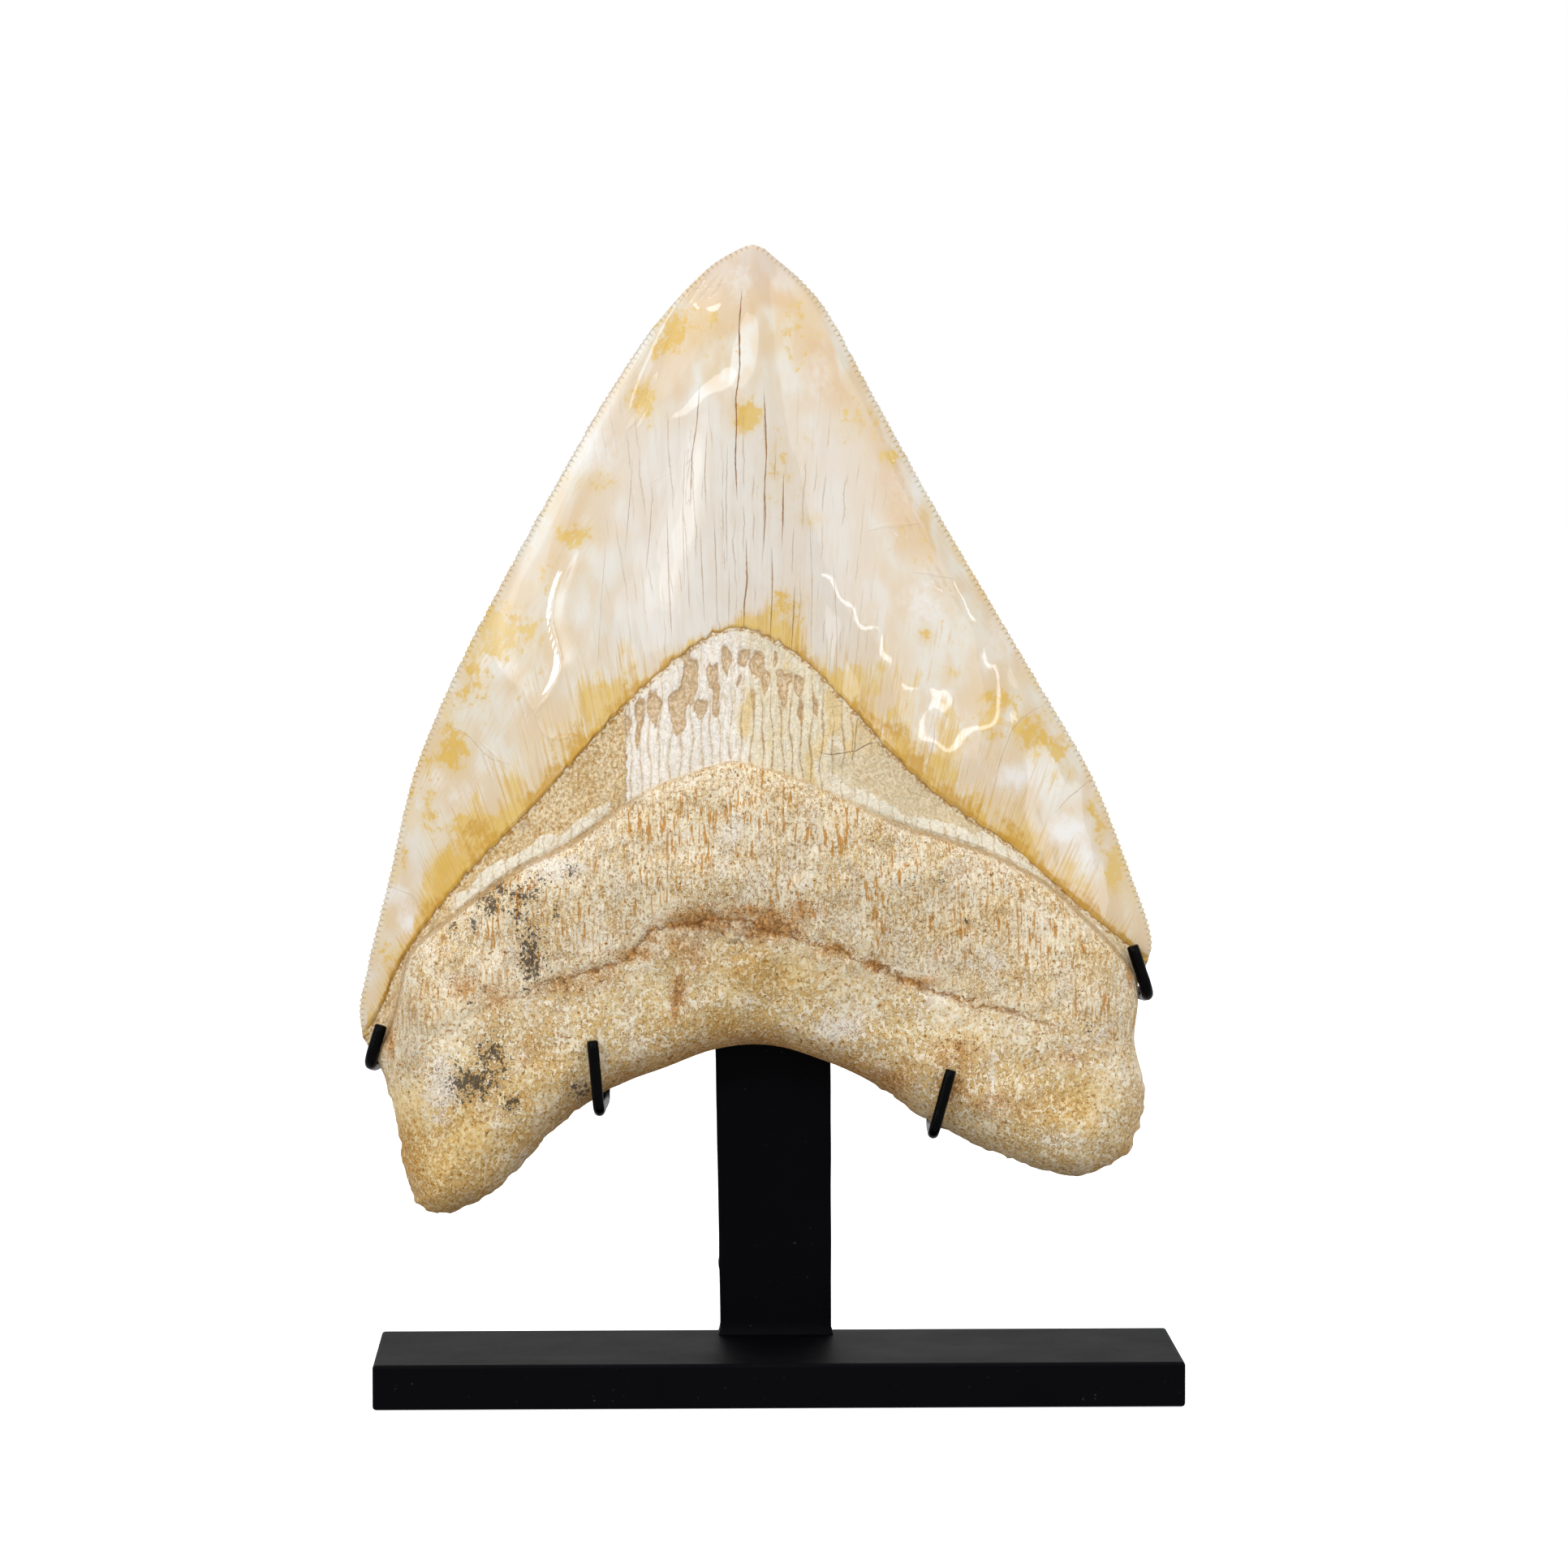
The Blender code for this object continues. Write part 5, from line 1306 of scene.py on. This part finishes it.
class FOSSIL_OT_post(bpy.types.Operator):
    """Models the post: a strip that widens upwards, with slightly uneven paint, wrinkles near its foot and
    the weld that joins it to the base"""

    bl_idname = "fossil.post"
    bl_label = "Post"

    def execute(self, context):
        settings = context.scene.fossil_stand
        bm = bmesh.new()
        height = POST_TOP_Z - BASE_HEIGHT
        middle = (0, POST_FRONT_Y + POST_THICKNESS / 2, (POST_TOP_Z + BASE_HEIGHT) / 2)
        rounded_bar(bm, (1.0, POST_THICKNESS, height), middle, POST_BEVEL, {2: 90})
        wide = [edge for edge in bm.edges if abs(edge.verts[0].co.x - edge.verts[1].co.x) > POST_BEVEL * MM]
        bmesh.ops.subdivide_edges(bm, edges=wide, cuts=10, use_grid_fill=True)
        for vert in bm.verts:
            x, y, z = vert.co / MM
            part = (z - BASE_HEIGHT) / height
            left, right = (foot + (top - foot) * part for foot, top in zip(POST_FOOT_X, POST_TOP_X))
            inset = 0.5 - abs(x)
            if inset < POST_BEVEL:
                placed = (left + inset) if x < 0 else (right - inset)
            else:
                share = (x + 0.5 - POST_BEVEL) / (1 - 2 * POST_BEVEL)
                placed = left + POST_BEVEL + share * (right - left - 2 * POST_BEVEL)
            sway = PAINT_SWAY * noise.noise(Vector((placed / 20, 0, z / 7)))
            wrinkles_z, reach, depth = PAINT_WRINKLES
            wrinkle = depth * math.exp(-(((z - wrinkles_z) / reach) ** 2))
            wrinkle *= noise.noise(Vector((placed / 4, 3, z / 0.8)))
            dent_x, dent_z, depth = PAINT_DENT
            dent = depth * math.exp(-(((z - dent_z) / 0.35) ** 2) - ((placed - dent_x) / 0.6) ** 2)
            flare = settings.weld / MM * math.exp(-((z - BASE_HEIGHT) / WELD_REACH))
            if abs(x) > 0.3:
                placed += (sway + flare) * math.copysign(1, x)
            placed -= dent
            if y < POST_FRONT_Y + POST_THICKNESS / 2:
                y -= abs(wrinkle) + flare
            vert.co = Vector((placed, y, z)) * MM
        shown_piece("post_painted", bm, paint_finish(settings), "post", 40)
        return {"FINISHED"}


class FOSSIL_OT_base(bpy.types.Operator):
    """Gives the flat bar its satin black paint"""

    bl_idname = "fossil.base"
    bl_label = "Base"

    def execute(self, context):
        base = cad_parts["base"]
        finish = bpy.data.materials.get("satin black paint") or paint_finish(context.scene.fossil_stand)
        base.data.materials.clear()
        base.data.materials.append(finish)
        return {"FINISHED"}


def post_side(side, z):
    """The x of the post's left (-1) or right (1) side at this height."""
    end = side > 0
    foot_z = BASE_HEIGHT + 0.3
    return POST_FOOT_X[end] + (POST_TOP_X[end] - POST_FOOT_X[end]) * (z - foot_z) / (POST_TOP_Z - foot_z)


def bent_rod(corners):
    """The points of a rod along straight runs, with a round bend at each inner corner."""
    points = [corners[0]]
    for before, corner, after in zip(corners, corners[1:], corners[2:]):
        arriving, leaving = (corner - before).normalized(), (after - corner).normalized()
        turn = arriving.angle(leaving)
        cut = ROD_BEND_RADIUS * math.tan(turn / 2)
        cut = min(cut, BEND_SHARE * (corner - before).length, BEND_SHARE * (after - corner).length)
        start, end = corner - arriving * cut, corner + leaving * cut
        handle = 4 / 3 * math.tan(turn / 4) * cut / math.tan(turn / 2)
        points += geometry.interpolate_bezier(
            start, start + arriving * handle, end - leaving * handle, end, ROD_BEND_STEPS
        )
    return points + [corners[-1]]


def spaced(points, gap):
    """The same line with points no further apart than the gap."""
    line = [points[0]]
    for before, after in zip(points, points[1:]):
        count = max(1, math.ceil((after - before).length / gap))
        line += [before.lerp(after, step / count) for step in range(1, count + 1)]
    return line


class FOSSIL_OT_prongs(bpy.types.Operator):
    """Bends the four coated rods round the root, with softened tips, a slightly wrinkled coating and a small
    weld on the post"""

    bl_idname = "fossil.prongs"
    bl_label = "Prongs"

    def execute(self, context):
        settings = context.scene.fossil_stand
        finish = coating_finish(settings)
        radius = settings.rod_diameter / MM / 2
        for name, hook in HOOKS.items():
            nearest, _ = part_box(name)
            size = radius * hook.get("thickness", 1.0)
            leg_y = nearest.y / MM + size
            side = math.copysign(1, hook["foot"][0])
            start_y, start_z = hook["start"]
            corners = [Vector((post_side(side, start_z) - side * 0.3, start_y, start_z))]
            corners += [Vector(point) for point in hook["behind"]]
            corners += [Vector((x, leg_y, z)) for x, z in (hook["foot"], hook["tip"])]
            points = spaced(bent_rod(corners), 0.6)
            bm = bmesh.new()
            self.sweep(bm, points, size, start=corners[0])
            shown_piece(name + "_coated", bm, finish, name, 50)
        return {"FINISHED"}

    def sweep(self, bm, points, radius, start):
        """Extrudes a ring along the points; the tip is softened and the start flares into its weld."""
        ring = bmesh.ops.create_circle(bm, cap_ends=True, segments=ROD_SIDES, radius=1)["verts"]
        edges = list({edge for vert in ring for edge in vert.link_edges})
        across = (points[1] - points[0]).orthogonal().normalized()
        last = len(points) - 1
        before = Matrix.Identity(4)
        for number, point in enumerate(points):
            ahead = (points[min(number + 1, last)] - points[max(number - 1, 0)]).normalized()
            across = (across - ahead * across.dot(ahead)).normalized()
            wrinkle = 1 + COATING_WRINKLES * noise.noise(point / 1.3)
            weld = ROD_WELD * math.exp(-(((point - start).length / ROD_WELD) ** 2))
            size = (radius * (wrinkle + weld) - 0.02) * {last: 0.80, last - 1: 0.97}.get(number, 1.0)
            place = points[-1] - ahead * ROD_TIP_BEVEL if number == last - 1 else point
            if number:
                made = bmesh.ops.extrude_edge_only(bm, edges=edges)["geom"]
                ring = [item for item in made if isinstance(item, bmesh.types.BMVert)]
                edges = [item for item in made if isinstance(item, bmesh.types.BMEdge) and item.is_boundary]
            turned = Matrix((across.cross(ahead), across, ahead)).transposed() * (size * MM)
            after = Matrix.Translation(place * MM) @ turned.to_4x4()
            bmesh.ops.transform(bm, matrix=after @ before.inverted(), verts=ring)
            before = after
        bmesh.ops.edgeloop_fill(bm, edges=edges)
        bmesh.ops.recalc_face_normals(bm, faces=bm.faces)


def soft_light(name, place, size, power, tint=(1.0, 1.0, 1.0)):
    """An area light at a place in metres, turned to the middle of the object."""
    light = bpy.data.lights.new(name, "AREA")
    light.shape = "ELLIPSE"
    light.size, light.size_y = size
    light.energy = power
    light.color = tint
    lamp = bpy.data.objects.new(name, light)
    lamp.location = place
    lamp.rotation_euler = (Vector(LIGHT_AIM) - Vector(place)).to_track_quat("-Z", "Y").to_euler()
    bpy.context.scene.collection.objects.link(lamp)


class FOSSIL_OT_studio(bpy.types.Operator):
    """Lays the pale floor, and sets the camera and the soft lights"""

    bl_idname = "fossil.studio"
    bl_label = "Studio"

    def execute(self, context):
        settings = context.scene.fossil_studio
        bm = bmesh.new()
        bmesh.ops.create_circle(bm, cap_ends=True, segments=96, radius=FLOOR_RADIUS)
        bmesh.ops.translate(bm, vec=(0, 0, -UNDER_BASE), verts=bm.verts)
        mesh = bpy.data.meshes.new("floor")
        bm.to_mesh(mesh)
        bm.free()
        finish = Finish("floor")
        finish.surface(
            Base_Color=tuple(settings.floor),
            Roughness=0.9,
            Specular_IOR_Level=0.1,
            Emission_Color=(1.0, 1.0, 1.0),
            Emission_Strength=settings.glow,
        )
        mesh.materials.append(finish.material)
        floor = bpy.data.objects.new("floor", mesh)
        context.scene.collection.objects.link(floor)
        floor.visible_diffuse = False
        floor.visible_glossy = False
        camera = bpy.data.objects.new("camera", bpy.data.cameras.new("camera"))
        camera.data.lens = CAMERA_LENS
        camera.data.sensor_width = 36.0
        camera.data.clip_end = 50.0
        turned = Matrix.Rotation(-CAMERA_YAW, 4, "Z") @ Matrix.Rotation(math.pi / 2 - CAMERA_PITCH, 4, "X")
        place = Matrix.Translation(Vector(CAMERA_PLACE) * MM)
        camera.matrix_world = place @ turned @ Matrix.Rotation(CAMERA_ROLL, 4, "Z")
        context.scene.collection.objects.link(camera)
        context.scene.camera = camera
        context.scene.view_settings.view_transform = "Standard"
        soft_light("left light", (-0.75, -0.60, 0.75), (0.50, 0.50), settings.left_power)
        soft_light("right light", (0.80, -0.80, 0.60), (0.50, 0.50), settings.right_power)
        soft_light("top light", (0.0, -0.25, 1.00), (0.7, 0.5), settings.top_power)
        for name, place, size, brightness in MIRRORED_LIGHTS:
            area = math.pi / 4 * size[0] * size[1]
            soft_light(name, place, size, math.pi * area * brightness * settings.sparkle, MIRRORED_TINT)
        self.surround(context, settings)
        return {"FINISHED"}

    def surround(self, context, settings):
        """White all round, which lights the object more softly than it shows behind it."""
        world = bpy.data.worlds.new("white surround")
        context.scene.world = world
        world.use_nodes = True
        nodes, links = world.node_tree.nodes, world.node_tree.links
        nodes.clear()
        kinds = "LightPath TexCoord SeparateXYZ MapRange Background Background MixShader OutputWorld"
        made = (nodes.new("ShaderNode" + kind) for kind in kinds.split())
        seen, toward, parts, height, lit, shown, chosen, output = made
        for socket, value in zip(list(height.inputs)[1:5], (-0.5, 0.5, settings.bounce, settings.fill)):
            socket.default_value = value
        lit.inputs["Color"].default_value = shown.inputs["Color"].default_value = (1, 1, 1, 1)
        for start, end in (
            (toward.outputs["Generated"], parts.inputs[0]),
            (parts.outputs["Z"], height.inputs["Value"]),
            (height.outputs[0], lit.inputs["Strength"]),
            (seen.outputs["Is Camera Ray"], chosen.inputs[0]),
            (lit.outputs[0], chosen.inputs[1]),
            (shown.outputs[0], chosen.inputs[2]),
            (chosen.outputs[0], output.inputs["Surface"]),
        ):
            links.new(start, end)


class FOSSIL_PT_panel(bpy.types.Panel):
    """Lists what can be built, with its sizes and colours"""

    bl_label = "Fossil tooth"
    bl_idname = "FOSSIL_PT_panel"
    bl_space_type = "VIEW_3D"
    bl_region_type = "UI"
    bl_category = "Fossil"

    def draw(self, context):
        for group, operators in SECTIONS.items():
            box = self.layout.box()
            settings = getattr(context.scene, group)
            for name in settings.__annotations__:
                box.prop(settings, name)
            for operator in operators:
                box.operator(operator.bl_idname)


SECTIONS = {
    "fossil_tooth": [FOSSIL_OT_tooth],
    "fossil_stand": [FOSSIL_OT_post, FOSSIL_OT_base, FOSSIL_OT_prongs],
    "fossil_studio": [FOSSIL_OT_studio],
}
GROUPS = {
    "fossil_tooth": FossilToothSettings,
    "fossil_stand": FossilStandSettings,
    "fossil_studio": FossilStudioSettings,
}


def register():
    for name, group in GROUPS.items():
        bpy.utils.register_class(group)
        setattr(bpy.types.Scene, name, bpy.props.PointerProperty(type=group))
    for operators in SECTIONS.values():
        for operator in operators:
            bpy.utils.register_class(operator)
    bpy.utils.register_class(FOSSIL_PT_panel)


def unregister():
    bpy.utils.unregister_class(FOSSIL_PT_panel)
    for operators in SECTIONS.values():
        for operator in operators:
            bpy.utils.unregister_class(operator)
    for name, group in GROUPS.items():
        delattr(bpy.types.Scene, name)
        bpy.utils.unregister_class(group)


def main():
    register()
    bpy.ops.fossil.studio()
    bpy.ops.fossil.tooth()
    bpy.ops.fossil.post()
    bpy.ops.fossil.base()
    bpy.ops.fossil.prongs()


if __name__ == "__main__":
    main()
